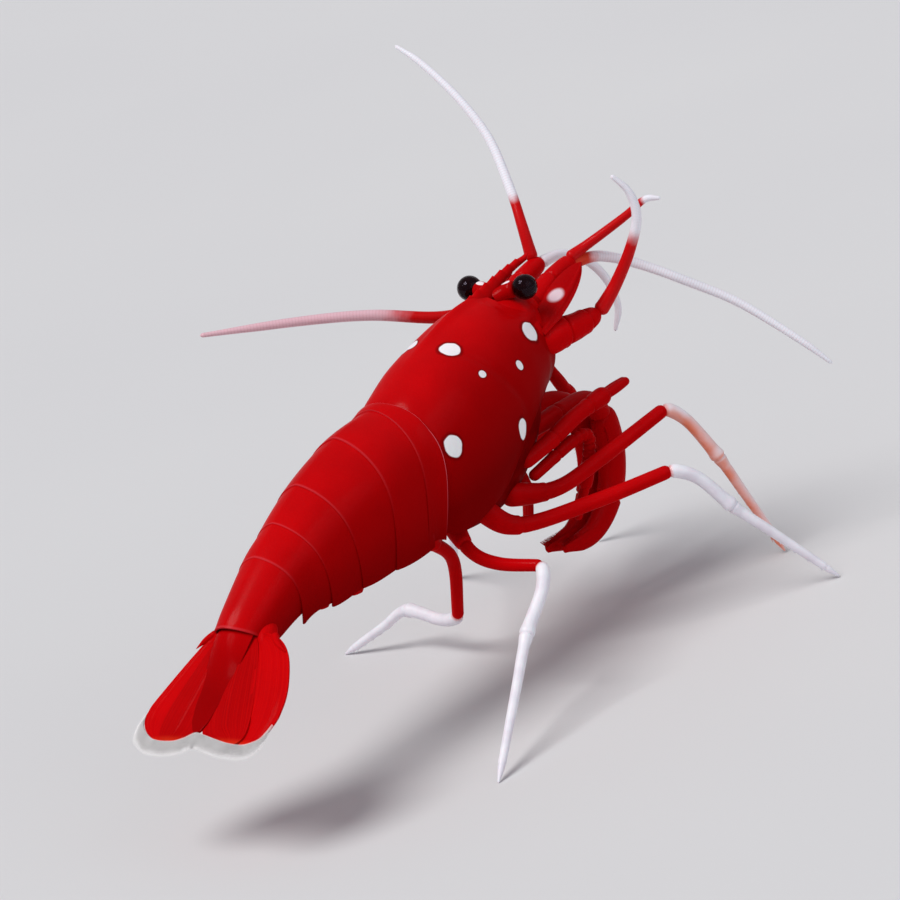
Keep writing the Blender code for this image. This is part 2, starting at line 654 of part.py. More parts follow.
def make_walking_legs(parts, paint, body_cutters):
    """Red thighs down to the knee, and white shins to a small flat at the floor."""
    for name, (hip, thigh, knee, ankle, foot) in WALKING_LEGS.items():
        knee, ankle, foot = Vector(knee), Vector(ankle), Vector(foot)
        upper = [stand(hip)] + [Vector(point) for point in thigh]
        arriving = (knee - upper[-1]).normalized()
        bow = (arriving - (ankle - knee).normalized()).normalized() * SHIN_BOW
        wrist = knee.lerp(ankle, 0.45) + bow
        leaving = (wrist - knee).normalized()
        mitre = (arriving + leaving).normalized()
        margin = mitre * (GAP / 2)
        bm = tube(smooth_path([*upper, knee + arriving * 0.6], 2), THIGH_RADII)
        slice_off(bm, knee - margin, mitre)
        thigh_body = finish_object(f"{name}_upper", bm, parts, paint["shell"])
        trim(thigh_body, body_cutters)
        below = foot + (foot - ankle).normalized() * 1.2
        bm = tube([knee - leaving * 0.6, wrist, ankle, ankle.lerp(foot, 0.5), below], SHIN_RADII)
        slice_off(bm, knee + margin, -mitre)
        flat_on_floor(bm)
        finish_object(f"{name}_lower", bm, parts, paint["white"])


def make_swimmerets(parts, paint):
    """Five pairs of paddles folded forward under the abdomen."""
    for number in range(1, 6):
        low, high = SOMITE_JOINTS[number - 1], SOMITE_JOINTS[number]
        back = Vector(low[0]).lerp(Vector(high[0]), SWIMMERET_PLACE)
        belly = Vector(low[1]).lerp(Vector(high[1]), SWIMMERET_PLACE)
        upwards = back - belly
        root = belly + upwards.normalized() * (BELLY_RISE * upwards.length - SWIMMERET_DROP)
        half_width = (low[2] + high[2]) / 2
        size = half_width / SOMITE_JOINTS[0][2] * (FIRST_SWIMMERET if number == 1 else 1.0)
        for name, side in SIDES:
            start = Vector((root.x, SWIMMERET_SPREAD * half_width, root.y))
            bm = swimmeret_body(start, size, side)
            finish_object(f"swimmeret_{number}_{name}", bm, parts, paint["shell"])


def swimmeret_body(start, size, side):
    """A flattened paddle that slopes forward and down from its root."""
    tip = start + SWIMMERET_REACH * size
    rings = []
    steps = 5
    for i in range(steps + 1):
        share = i / steps
        width = SWIMMERET_HALF_WIDTH * size * max(0.45, leaf_width(share, 0.5))
        ring = []
        for k in range(8):
            angle = math.tau * k / 8
            rim = Vector((0.08 * math.sin(angle), width * math.cos(angle),
                          PLATE_THICKNESS / 2 * math.sin(angle)))
            ring.append(stand(to_side(start.lerp(tip, share) + rim, side)))
        rings.append(ring)
    return loft(rings)


def main():
    clear_scene()
    parts = new_collection("fire_shrimp")
    cutters = new_collection("cutters", hidden=True)
    paint = {
        "shell": new_material("shell_red", RED, 0.28),
        "shell_dark": new_material("shell_dark_red", DARK_RED, 0.35),
        "white": new_material("white_shell", WHITE, 0.35),
        "eye": new_material("eye_black", BLACK, 0.08),
    }
    carapace, carapace_cutter = make_carapace(parts, cutters, paint)
    thorax_cutter = make_thorax(parts, cutters, paint, carapace_cutter)
    body_cutters = [carapace_cutter, thorax_cutter]
    make_abdomen(parts, paint)
    make_tail_fan(parts, paint)
    make_eyes(parts, cutters, paint, [carapace_cutter])
    make_antennules(parts, paint, [carapace_cutter])
    make_antennae(parts, paint, [carapace_cutter])
    make_mouth_legs(parts, paint, body_cutters)
    make_claw_legs(parts, paint, body_cutters)
    make_walking_legs(parts, paint, body_cutters)
    make_swimmerets(parts, paint)
    for cutter in cutters.objects:
        cutter.hide_render = True
        cutter.display_type = "WIRE"


if __name__ == "__main__":
    main()
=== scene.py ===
"""Dresses the fire shrimp model: shell plates, head, limbs, feelers, tail fan, and a plain stage.

Lengths are in millimetres until a point is placed, and the animal is drawn in its own frame:
x forward along the carapace, y to its left, z towards its back. stand() pitches that frame nose
up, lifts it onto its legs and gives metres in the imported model's frame.
"""

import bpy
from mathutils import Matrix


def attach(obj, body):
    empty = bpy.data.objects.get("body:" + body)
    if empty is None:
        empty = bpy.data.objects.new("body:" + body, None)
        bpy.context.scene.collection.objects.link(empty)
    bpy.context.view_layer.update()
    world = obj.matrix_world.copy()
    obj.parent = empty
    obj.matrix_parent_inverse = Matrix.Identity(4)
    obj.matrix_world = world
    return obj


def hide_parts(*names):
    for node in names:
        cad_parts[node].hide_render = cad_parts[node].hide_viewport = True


bl_info = {
    "name": "Fire Shrimp Model",
    "version": (1, 0, 0),
    "blender": (4, 5, 0),
    "location": "View3D > Sidebar > Shrimp",
    "description": "Adds the pieces of a life-size fire shrimp model and its stage",
    "category": "Add Mesh",
}

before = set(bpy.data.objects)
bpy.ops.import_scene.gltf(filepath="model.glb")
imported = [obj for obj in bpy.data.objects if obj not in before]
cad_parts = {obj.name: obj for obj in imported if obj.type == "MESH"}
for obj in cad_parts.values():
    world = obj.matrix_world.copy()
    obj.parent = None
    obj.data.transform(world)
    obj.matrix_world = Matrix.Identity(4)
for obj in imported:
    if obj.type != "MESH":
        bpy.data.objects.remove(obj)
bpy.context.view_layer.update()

import math

import bpy
from mathutils import Matrix, Vector, noise

MM = 0.001
SEAM_GAP = 2e-7          # metres within which the points of a seam are merged

# How the body stands
BODY_PITCH = math.radians(8.0)
BODY_HEIGHT = 16.0
ORIGIN_SHIFT = Vector((3.1, -1.7, 0.0))

# Carapace: share of length, top, bottom, half width
CARAPACE_STATIONS = (
    (0.00, 4.00, -4.10, 3.50),
    (0.14, 4.50, -4.50, 3.80),
    (0.36, 4.92, -4.60, 3.95),
    (0.58, 5.20, -4.45, 3.80),
    (0.78, 5.30, -3.95, 3.45),
    (0.92, 5.15, -3.30, 2.98),
    (1.00, 4.85, -2.70, 2.62),
)
REAR_TOP_X = -5.50
REAR_LEAN = 0.14
REAR_DIP = 0.42          # how far the back sinks towards the abdomen
REAR_PINCH = 0.07        # and how much narrower it gets there
FRONT_X = 7.9
FRONT_TURN_Z = 0.2
FRONT_CURVE_UP = 0.075
FRONT_CURVE_DOWN = 0.27
FRONT_TAPER = 0.38        # how much narrower the lower front is than the rest of the flank

# The flesh inside the carapace, down to the roots of the legs
CORE_REAR_X = -5.9
CORE_FRONT_X = 7.0
CORE_BOTTOM = -6.5
CORE_RISE_AHEAD = 0.068   # how the keel curves up in front of its lowest point, per mm squared
CORE_RISE_BEHIND = 0.045

# Flesh of the head in front of the carapace: share of length, top, bottom, half width
HEAD_REAR_X = 5.0
HEAD_LENGTH = 4.6
HEAD_STATIONS = (
    (0.0, 4.30, -2.20, 2.60),
    (0.45, 4.50, -1.80, 2.78),
    (0.70, 4.20, -1.40, 2.40),
    (0.88, 3.65, -0.90, 1.65),
    (1.0, 2.80, -0.20, 0.70),
)

# Abdomen: back point, belly point and half width of each joint line
SOMITE_JOINTS = (
    ((-4.50, 3.75), (-7.15, -4.35), 3.25),
    ((-5.75, 4.10), (-8.30, -4.05), 3.45),
    ((-9.25, 4.30), (-10.90, -3.50), 3.35),
    ((-13.50, 3.65), (-13.60, -3.10), 2.90),
    ((-16.35, 2.75), (-15.95, -2.80), 2.50),
    ((-18.65, 1.90), (-18.20, -2.10), 2.15),
    ((-22.90, -0.10), (-21.00, -2.55), 1.65),
)

# Tail fan: distance back from its root and reach outwards, in its own plane
FAN_ROOT = (-22.45, -1.35)
FAN_PITCH = math.radians(27.5)
PLATE_LIFT = 0.16
TELSON_LENGTH = 6.3
TELSON_HALF_WIDTHS = ((0.0, 1.30), (0.2, 1.42), (0.5, 1.16), (0.8, 0.84), (0.93, 0.64), (1.0, 0.36))
INNER_BLADES = {
    "right": ((-0.6, 0.75), (0.4, 1.9), (2.8, 2.9), (5.0, 3.6), (6.35, 3.7), (6.95, 2.95),
              (6.75, 1.7), (6.35, 0.5), (4.4, -0.05), (2.0, -0.05), (0.2, 0.2)),
    "left": ((-0.6, 0.75), (0.4, 1.6), (2.8, 2.4), (5.0, 2.95), (6.4, 2.9), (6.95, 2.0),
             (6.85, 1.2), (6.35, 0.35), (4.4, -0.05), (2.0, -0.05), (0.2, 0.2)),
}
OUTER_BLADES = {
    "right": ((-0.4, 1.1), (-0.3, 2.9), (0.7, 4.2), (2.4, 5.12), (3.9, 5.54), (5.2, 5.44),
              (6.35, 4.84), (6.95, 3.6), (6.6, 2.0), (4.0, 1.2), (1.2, 0.8)),
    "left": ((-0.4, 1.1), (-0.1, 2.2), (1.1, 2.95), (3.1, 3.95), (4.8, 4.70), (5.6, 4.68),
             (6.35, 4.05), (6.93, 2.8), (6.6, 1.5), (4.0, 1.0), (1.2, 0.8)),
}
# Where the fringe of hairs grows, from the left corner round to the right one
FRINGE_ROOTS = ((5.2, 4.80), (5.85, 4.64), (6.42, 4.06), (6.93, 2.98), (6.98, 1.6), (6.74, 0.72),
                (6.38, 0.0), (6.48, -0.7), (6.77, -1.9), (6.97, -3.0), (6.88, -3.95), (6.52, -4.84),
                (6.05, -5.20), (5.5, -5.46))

# Eyes and rostrum
EYE_CENTRE = (7.80, 2.20, 4.70)
STALK = ((7.0, 0.35, 4.40), (7.52, 1.00, 4.62), (7.74, 1.62, 4.70))
STALK_MARK = (7.60, 0.98, 5.10)
ROSTRUM_ROOT_X = 3.0
ROSTRUM_TIP_X = 11.3
ROSTRUM_TIP_Z = 5.20
ROSTRUM_TOP_Z = 5.42
ROSTRUM_LOW_Z = 4.25
FIRST_TOOTH_X = 3.9
TOOTH_HEIGHT = 0.13

SIDES = (("right", -1), ("left", 1))

# Feelers, in the animal's frame
ANTENNULE_BASE = ((5.9, 0.95, 2.2), (8.4, 1.08, 2.85), (11.0, 1.18, 3.25), (13.5, 1.25, 3.42))
ANTENNULE_WHIPS = {
    "right_outer": ((13.2, -1.3, 3.25), (13.8, -1.35, 3.15), (15.2, -2.0, 2.7), (16.6, -3.5, 1.3),
                    (17.8, -5.8, -0.7), (19.0, -8.0, -2.9), (20.0, -10.7, -6.1),
                    (20.6, -12.0, -8.1)),
    "left_outer": ((12.9, 1.35, 3.7), (13.7, 1.9, 5.75), (14.9, 2.9, 7.5), (16.6, 4.7, 10.3),
                   (17.4, 6.7, 12.8), (17.9, 9.1, 15.1), (18.0, 10.8, 16.4)),
    "right_inner": ((13.2, -1.2, 3.65), (14.3, -1.7, 3.80), (15.4, -2.9, 4.3), (16.3, -4.2, 4.9),
                    (17.1, -5.3, 5.5), (17.6, -6.1, 5.3)),
    "left_inner": ((13.2, 1.15, 3.4), (15.0, 0.95, 3.0), (16.5, 0.6, 1.8), (17.3, 0.25, 0.0),
                   (17.3, 0.1, -1.9), (16.7, 0.5, -3.4)),
}
ANTENNA_BASE = ((6.9, 1.9, 0.9), (8.6, 2.35, 0.9), (10.2, 2.70, 0.6), (12.2, 3.0, 0.4))
ANTENNA_WHIPS = {
    "right": ((12.1, -3.0, 0.4), (12.65, -3.35, 0.8), (13.5, -4.1, 1.8), (14.4, -5.2, 3.5),
              (15.1, -6.0, 5.3), (15.25, -6.0, 7.0), (14.8, -5.5, 8.4)),
    "left": ((12.2, 3.05, 0.4), (12.7, 3.55, 0.55), (11.9, 5.0, 1.1), (9.3, 7.0, 1.9),
             (7.2, 10.5, 3.3), (4.8, 14.0, 4.3), (0.7, 18.5, 5.7)),
}

FEELER_RINGS = 105.0       # fine rings along each whip

# Limbs under the head
MOUTH_LEG = ((4.1, 1.6, -3.3), (7.5, 1.5, -3.85), (10.25, 1.2, -4.7), (11.4, 0.92, -6.4),
             (11.1, 0.82, -9.0), (9.6, 0.80, -11.1), (7.2, 0.75, -12.2), (4.3, 0.68, -11.7))
CLAW_LEGS = {
    "claw_leg_1_right": ((1.8, -2.5, -4.2), (4.3, -3.0, -4.0), (7.3, -3.3, -3.75),
                         (11.85, -3.8, -3.98)),
    "claw_leg_1_left": ((3.8, 2.5, -4.2), (8.5, 3.3, -5.6), (13.4, 3.3, -6.9), (11.5, 2.0, -2.8)),
    "claw_leg_2_right": ((2.4, -2.2, -5.5), (7.2, -3.0, -5.25), (6.9, -2.5, -7.6),
                         (4.9, -2.0, -10.2)),
    "claw_leg_2_left": ((1.9, 2.0, -5.5), (6.6, 3.4, -6.9), (6.7, 2.8, -8.8), (4.9, 2.2, -11.0)),
}

WRIST_RINGS = (0.28, 0.46, 0.51, 0.56, 0.61, 0.66, 0.71, 0.76)    # joints of the slimmer pair

# Walking legs: hip in the animal's frame, then thigh, knee, ankle and foot in the standing one
WALKING_LEGS = {
    "leg_3_right": ((0.2, -1.5, -5.4), ((4.1, -3.0, 9.8), (7.9, -3.8, 10.2)),
                    (13.0, -5.4, 11.4), (15.1, -6.8, 7.2), (17.3, -8.2, 0.0)),
    "leg_4_right": ((-2.0, -1.5, -4.9), ((0.2, -3.0, 9.1), (4.1, -6.2, 9.1)),
                    (7.8, -9.2, 9.5), (10.1, -11.3, 6.1), (13.7, -15.0, 0.0)),
    "leg_5_right": ((-4.2, -1.2, -4.7), ((-4.4, -3.0, 9.35), (-4.5, -5.0, 8.65)),
                    (-4.1, -8.0, 8.4), (-8.0, -8.9, 5.6), (-16.2, -11.4, 0.0)),
    "leg_3_left": ((0.2, 1.5, -5.4), ((5.0, 3.9, 8.6), (11.0, 5.0, 9.6)),
                   (16.5, 5.2, 10.3), (18.3, 5.9, 6.1), (18.5, 7.8, 0.0)),
    "leg_4_left": ((-2.0, 1.5, -4.9), ((0.4, 3.0, 9.4), (4.1, 6.2, 9.5)),
                   (7.7, 9.1, 9.7), (10.0, 11.3, 6.0), (12.5, 15.2, 0.0)),
    "leg_5_left": ((-4.2, 1.2, -4.7), ((-2.6, 1.7, 9.2), (-0.5, 2.4, 7.0)),
                   (0.9, 4.6, 2.6), (1.5, 9.3, 2.7), (0.5, 14.6, 0.0)),
}
THIGH_RADII = ((0.0, 0.74), (0.12, 0.70), (0.27, 0.50), (0.60, 0.47), (0.90, 0.44), (1.0, 0.43))
HIND_SHARE = 0.86          # how slender the thighs of the hind pair are beside the others
SHIN_BOW = 0.45

# White spots of the carapace: centre, semi-axes along and across, turn in degrees
SPOTS = (
    ((0.41, 1.55, 4.30), (0.65, 0.54), -46),
    ((6.16, 2.52, 2.28), (0.58, 0.66), 30),
    ((3.66, 2.90, 1.42), (0.26, 0.34), 20),
    ((0.62, 2.90, 2.50), (0.30, 0.26), -30),
    ((1.90, 3.50, -1.70), (0.43, 0.70), 0),
    ((-4.14, 3.70, 0.67), (0.62, 0.69), 0),
)
# On the left side alone, one more beside the first
LEFT_SPOT = ((0.50, 1.08, 4.52), (0.62, 0.42), -46)

# The camera: azimuth, elevation and roll in degrees, then lengths in mm
CAMERA_ANGLES = (-46.4, 16.8, 15.4)
CAMERA_DISTANCE = 350.0
CAMERA_LENS = 233.8
CAMERA_DROP = 1.796      # how far below the middle of the body it aims


# ---------------------------------------------------------------- places

def stand(point):
    """A point of the animal's own frame, in mm, as a place in the model, in metres."""
    x, y, z = point
    cos_p, sin_p = math.cos(BODY_PITCH), math.sin(BODY_PITCH)
    placed = Vector((x * cos_p - z * sin_p, y, BODY_HEIGHT + x * sin_p + z * cos_p))
    return (placed + ORIGIN_SHIFT) * MM


def standing(point):
    """A point already given upright, in mm, as a place in the model, in metres."""
    return (Vector(point) + ORIGIN_SHIFT) * MM


def fan_point(distance, y, lift):
    """A place on the tail fan: distance back from its root, y to the left, lift off its plane."""
    cos_p, sin_p = math.cos(FAN_PITCH), math.sin(FAN_PITCH)
    return stand((FAN_ROOT[0] - distance * cos_p - lift * sin_p, y,
                  FAN_ROOT[1] - distance * sin_p + lift * cos_p))


def to_side(point, side):
    return (point[0], point[1] * side, point[2])


def clamp(value, low=0.0, high=1.0):
    return max(low, min(high, value))


def ease(value):
    """Nought to one with soft ends."""
    value = clamp(value)
    return value * value * (3 - 2 * value)


def hump(value, middle, width):
    return math.exp(-((value - middle) / width) ** 2)


def curve_point(around, t):
    """A point of the Catmull-Rom curve between the middle two of four points."""
    a, b, c, d = around
    return 0.5 * ((2 * b) + (c - a) * t + (2 * a - 5 * b + 4 * c - d) * t ** 2
                  + (3 * b - a - 3 * c + d) * t ** 3)


def table_value(rows, share):
    """Smooth values between the rows of a table whose first column is a share of the length."""
    place = 0
    while place < len(rows) - 2 and share > rows[place + 1][0]:
        place += 1
    t = (share - rows[place][0]) / (rows[place + 1][0] - rows[place][0])
    picked = [rows[clamp(place + k, 0, len(rows) - 1)] for k in (-1, 0, 1, 2)]
    return [curve_point([row[i] for row in picked], t) for i in range(1, len(rows[0]))]


def smooth_line(points, count):
    """Evenly spaced points on a smooth line through the given ones."""
    points = [Vector(point) for point in points]
    ends = [points[0] * 2 - points[1], *points, points[-1] * 2 - points[-2]]
    fine = []
    for around in zip(ends, ends[1:], ends[2:], ends[3:]):
        fine += [curve_point(around, i / 12) for i in range(12)]
    fine.append(points[-1])
    return resample(fine, count)


def body_line(points, count, side=1):
    """A smooth line through points of the animal's own frame, on its left or mirrored."""
    return smooth_line([stand(to_side(point, side)) for point in points], count)


def resample(line, count):
    """The same line with evenly spaced points."""
    reach = [0.0]
    for near, far in zip(line, line[1:]):
        reach.append(reach[-1] + (far - near).length)
    even = []
    place = 0
    for i in range(count):
        target = reach[-1] * i / (count - 1)
        while place < len(line) - 2 and reach[place + 1] < target:
            place += 1
        span = max(reach[place + 1] - reach[place], 1e-9)
        even.append(line[place].lerp(line[place + 1], (target - reach[place]) / span))
    return even


def wave(place, scale, seed=0.0):
    """Soft unevenness between minus one and one, the same each run."""
    return noise.noise(Vector(place) * scale + Vector((seed, seed * 1.7, 3.1)))


# ---------------------------------------------------------------- modelling

def start_fresh():
    if bpy.context.object and bpy.context.object.mode != "OBJECT":
        bpy.ops.object.mode_set(mode="OBJECT")
    bpy.ops.object.select_all(action="DESELECT")


def pick(obj):
    """Selects one object alone and makes it the active one."""
    start_fresh()
    obj.select_set(True)
    bpy.context.view_layer.objects.active = obj


def edit_all(obj):
    """Goes into edit mode on one object with everything selected."""
    pick(obj)
    bpy.ops.object.mode_set(mode="EDIT")
    bpy.ops.mesh.select_all(action="SELECT")


def drape(name, around, along, surface):
    """Adds a grid and lays it over a surface that a function gives from two shares."""
    start_fresh()
    bpy.ops.mesh.primitive_grid_add(x_subdivisions=around, y_subdivisions=along, size=1.0)
    obj = bpy.context.object
    obj.name = name
    obj.data.name = name
    for vert in obj.data.vertices:
        vert.co = surface(vert.co.x + 0.5, vert.co.y + 0.5)
    return obj


def drape_closed(name, around, along, surface):
    """Drapes a closed form: its seam and poles are merged and its faces turned outwards."""
    obj = drape(name, around, along, surface)
    edit_all(obj)
    bpy.ops.mesh.remove_doubles(threshold=SEAM_GAP)
    bpy.ops.mesh.normals_make_consistent(inside=False)
    bpy.ops.object.mode_set(mode="OBJECT")
    return obj


def drape_shell(name, around, along, surface, inside, thickness, offset=-1.0, even=False):
    """Drapes an open sheet that faces away from a point inside the body, and makes it thick."""
    obj = drape(name, around, along, surface)
    face_outwards(obj, inside)
    pick(obj)
    modifier = obj.modifiers.new("Solidify", "SOLIDIFY")
    modifier.thickness = thickness
    modifier.offset = offset
    modifier.use_even_offset = even
    bpy.ops.object.modifier_apply(modifier=modifier.name)
    return obj


def face_outwards(obj, centre):
    """Turns an open sheet's faces away from a point inside the body."""
    total = 0.0
    for face in obj.data.polygons:
        total += (face.center - centre).dot(face.normal) * face.area
    if total < 0:
        edit_all(obj)
        bpy.ops.mesh.flip_normals()
        bpy.ops.object.mode_set(mode="OBJECT")


def join(pieces, name):
    pick(pieces[0])
    for piece in pieces:
        piece.select_set(True)
    bpy.ops.object.join()
    pieces[0].name = name
    pieces[0].data.name = name
    return pieces[0]


def dress(obj, material, slot, *nodes, angle=50.0):
    """Finishes a piece: shading, material, parent, and the nodes it stands for; its slot is not
    used.

    Faces that meet at less than the angle, in degrees, are shaded as one. Hairs have none.
    """
    if angle:
        pick(obj)
        bpy.ops.object.shade_smooth_by_angle(angle=math.radians(angle))
    obj.data.materials.clear()
    obj.data.materials.append(material)
    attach(obj, "root")
    if nodes:
        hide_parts(*nodes)


def limb(name, line, radii, sides, round_start=True, flatten=1.0, joints=(), across=None):
    """A closed bar along a line, in metres, with radii in mm from a table of shares.

    Each joint is a share of the length with a small groove and a collar before it. The bar is
    flattened square to the direction across.
    """
    count = len(line)
    tangents = []
    for i in range(count):
        near, far = line[max(0, i - 1)], line[min(count - 1, i + 1)]
        tangents.append((far - near).normalized())
    across = Vector(across) if across else tangents[0].orthogonal().normalized()
    frames = []
    for tangent in tangents:
        across = (across - tangent * across.dot(tangent)).normalized()
        frames.append((across, tangent.cross(across)))
    length = sum((b - a).length for a, b in zip(line, line[1:]))

    def surface(u, v):
        place = round(v * (count + 1)) - 1
        closing = place < 0 or place > count - 1
        index = int(clamp(place, 0, count - 1))
        share = index / (count - 1)
        radius = table_value(radii, share)[0] * MM
        for joint in joints:
            radius *= 1 + 0.05 * hump(share * length, joint * length - 0.22 * MM, 0.20 * MM)
            radius *= 1 - 0.16 * hump(share * length, joint * length, 0.07 * MM)
        if closing:
            radius = 0.0
        if round_start and share * length < radius:
            radius *= math.sqrt(max(0.06, 1 - (1 - share * length / radius) ** 2))
        if (1 - share) * length < radius:
            radius *= math.sqrt(max(0.06, 1 - (1 - (1 - share) * length / radius) ** 2))
        side, up = frames[index]
        angle = math.tau * u
        return (line[index] + side * math.cos(angle) * radius
                + up * math.sin(angle) * radius * flatten)

    return drape_closed(name, sides, count + 1, surface)


def thorn(root, tip, radius):
    """A small spine from root to tip, both in metres, with its radius in mm."""
    start_fresh()
    along = tip - root
    bpy.ops.mesh.primitive_cone_add(vertices=10, radius1=radius * MM, radius2=radius * 0.12 * MM,
                                    depth=along.length, location=root.lerp(tip, 0.5),
                                    rotation=along.to_track_quat("Z", "Y").to_euler())
    obj = bpy.context.object
    bpy.ops.object.transform_apply(location=True, rotation=True, scale=True)
    return obj


def fingers(line, spread, radius):
    """The two blunt fingers of a small closed claw that follow the end of a leg's line."""
    forward = (line[-1] - line[0]).normalized()
    across = forward.cross(Vector((0, 0, 1))).normalized()
    made = []
    for sign in (-1, 1):
        count = len(line) - 1
        points = [point + across * sign * spread * MM * (1 - 0.25 * (i / count) ** 2)
                  for i, point in enumerate(line)]
        made.append(limb("finger", smooth_line(points, 24),
                         ((0.0, radius), (0.5, radius * 1.04), (1.0, radius * 0.85)), 16))
    return made


# ---------------------------------------------------------------- materials

def fill(tree, entry, value):
    """Gives a socket its value, or links it to the one that makes the value."""
    if isinstance(value, Field):
        tree.links.new(value.socket, entry)
    else:
        entry.default_value = value


def add_node(tree, kind, settings=None, **values):
    """Adds a node, sets it up, then fills its sockets, each by its name or as i and its number."""
    made = tree.nodes.new(kind)
    for key, value in (settings or {}).items():
        setattr(made, key, value)
    for key, value in values.items():
        words = key.replace("_", " ").lower()
        named = [item for item in made.inputs if item.enabled and item.name.lower() == words]
        fill(tree, named[0] if named else made.inputs[int(key[1:])], value)
    return made


class Field:
    """A socket of a shader tree, so that shader maths reads as a plain expression."""

    def __init__(self, tree, socket):
        self.tree = tree
        self.socket = socket

    def maths(self, operation, *values):
        entries = {f"i{index}": value for index, value in enumerate(values)}
        made = add_node(self.tree, "ShaderNodeMath", {"operation": operation}, **entries)
        return Field(self.tree, made.outputs[0])

    def __add__(self, other):
        return self.maths("ADD", self, other)

    __radd__ = __add__

    def __sub__(self, other):
        return self.maths("SUBTRACT", self, other)

    def __rsub__(self, other):
        return self.maths("SUBTRACT", other, self)

    def __mul__(self, other):
        return self.maths("MULTIPLY", self, other)

    __rmul__ = __mul__

    def __truediv__(self, other):
        return self.maths("DIVIDE", self, other)

    def __abs__(self):
        return self.maths("ABSOLUTE", self)

    def above(self, edge, softness):
        """Nought below the edge, one above it, with a soft step between."""
        made = add_node(self.tree, "ShaderNodeMapRange", {"interpolation_type": "SMOOTHSTEP"},
                        value=self, from_min=edge - softness, from_max=edge + softness)
        return Field(self.tree, made.outputs["Result"])

    def below(self, edge, softness):
        return 1 - self.above(edge, softness)


class Paint:
    """A new Principled material and the few nodes its finish is written with."""

    def __init__(self, name):
        self.material = bpy.data.materials.new(name)
        self.material.use_nodes = True
        self.tree = self.material.node_tree
        self.shader = self.tree.nodes["Principled BSDF"]

    def node(self, kind, settings=None, **values):
        return add_node(self.tree, kind, settings, **values)

    def out(self, made, name=None):
        if name is None:
            return Field(self.tree, next(item for item in made.outputs if item.enabled))
        return Field(self.tree, made.outputs[name])

    def place(self):
        """Object coordinates in millimetres."""
        coordinates = self.out(self.node("ShaderNodeTexCoord"), "Object")
        return self.out(self.node("ShaderNodeVectorMath", {"operation": "SCALE"}, i0=coordinates,
                                  scale=1 / MM))

    def own(self):
        """The piece's own UV map: share round it, share along it."""
        made = self.node("ShaderNodeUVMap", {"uv_map": "UVMap"})
        split = self.node("ShaderNodeSeparateXYZ", i0=self.out(made))
        return self.out(split, "X"), self.out(split, "Y")

    def part(self, vector, axis):
        return self.out(self.node("ShaderNodeSeparateXYZ", i0=vector), axis)

    def facing(self, axis):
        """One where the surface faces along the world's axis, minus one where it faces back."""
        return self.part(self.out(self.node("ShaderNodeNewGeometry"), "Normal"), axis)

    def dot(self, vector, axis):
        made = self.node("ShaderNodeVectorMath", {"operation": "DOT_PRODUCT"}, i0=vector, i1=axis)
        return self.out(made, "Value")

    def fan_reach(self):
        """Distance back along the tail fan from its root, in mm."""
        backwards = (fan_point(1.0, 0.0, 0.0) - fan_point(0.0, 0.0, 0.0)).normalized()
        return self.dot(self.place(), backwards) - backwards.dot(fan_point(0.0, 0.0, 0.0)) / MM

    def noise(self, place, scale, detail=2.0, rough=0.5):
        made = self.node("ShaderNodeTexNoise", vector=place, scale=scale, detail=detail,
                         roughness=rough)
        return self.out(made, "Fac")

    def cells(self, place, scale):
        made = self.node("ShaderNodeTexVoronoi", vector=place, scale=scale)
        return self.out(made, "Distance")

    def mix(self, share, first, second):
        """Goes from the first colour to the second as the share goes from nought to one."""
        a, b = (value if isinstance(value, Field) else (*value[:3], 1.0)
                for value in (first, second))
        return self.out(self.node("ShaderNodeMix", {"data_type": "RGBA"}, factor=share, a=a, b=b))

    def give(self, **values):
        """Fills sockets of the Principled shader."""
        for key, value in values.items():
            fill(self.tree, self.shader.inputs[key.replace("_", " ")], value)

    def bump(self, height, strength, distance=0.05):
        made = self.node("ShaderNodeBump", strength=strength, distance=distance * MM, height=height)
        self.give(Normal=self.out(made))


def painted(name, finish, *values):
    """The material of this name, which is painted the first time that it is asked for."""
    found = bpy.data.materials.get(name)
    if not found:
        paint = Paint(name)
        finish(paint, *values)
        found = paint.material
    return found


def colours():
    return bpy.context.scene.shrimp_colours


def sizes():
    return bpy.context.scene.shrimp_sizes


def shade(colour, factor):
    return tuple(channel * factor for channel in colour[:3])


def shell_finish(paint, red, gloss=0.24, coat=0.11):
    """What every red shell shares: gloss, faint pitting and a little light let through."""
    place = paint.place()
    pits = paint.noise(place, 7.0, 4.0, 0.6)
    broad = paint.noise(place, 0.7, 2.0)
    paint.give(Base_Color=red, Roughness=gloss + 0.12 * broad + 0.16 * pits,
               Coat_Weight=coat * paint.facing("Z").above(0.45, 0.40), Coat_Roughness=0.16,
               Coat_Tint=(1.0, 0.45, 0.75, 1.0), Specular_IOR_Level=0.006,
               Specular_Tint=(1.0, 0.30, 0.50, 1.0), Subsurface_Weight=0.10,
               Subsurface_Radius=(1.0, 0.06, 0.04), Subsurface_Scale=0.35 * MM)
    paint.bump(pits + 0.6 * broad, 0.30, 0.035)


def mottled_red(paint, factor=1.0):
    """Two reds in soft clouds, with the fine dots of colour that the skin below the shell has."""
    bright, deep = shade(colours().red, factor), shade(colours().deep_red, factor)
    place = paint.place()
    clouds = paint.noise(place, 0.35, 3.0)
    dots = paint.cells(place, 8.0)
    return paint.mix(clouds.above(0.5, 0.2) * 0.25 + dots.above(0.4, 0.3) * 0.12, bright, deep)


def painted_side_shade(paint, red, darkest, start=0.30, strength=0.9):
    """Paints shade into the red of a body shell: deeper from its back down to its lower edges."""
    around, _ = paint.own()
    down = (abs(around * 2.0 - 1.0) - start) / (1.0 - start)
    down = down.maths("MAXIMUM", down, 0.0) * strength
    return paint.mix(down.maths("MINIMUM", down, 1.0), red, darkest)


def red_shell(paint, factor):
    shell_finish(paint, mottled_red(paint, factor))


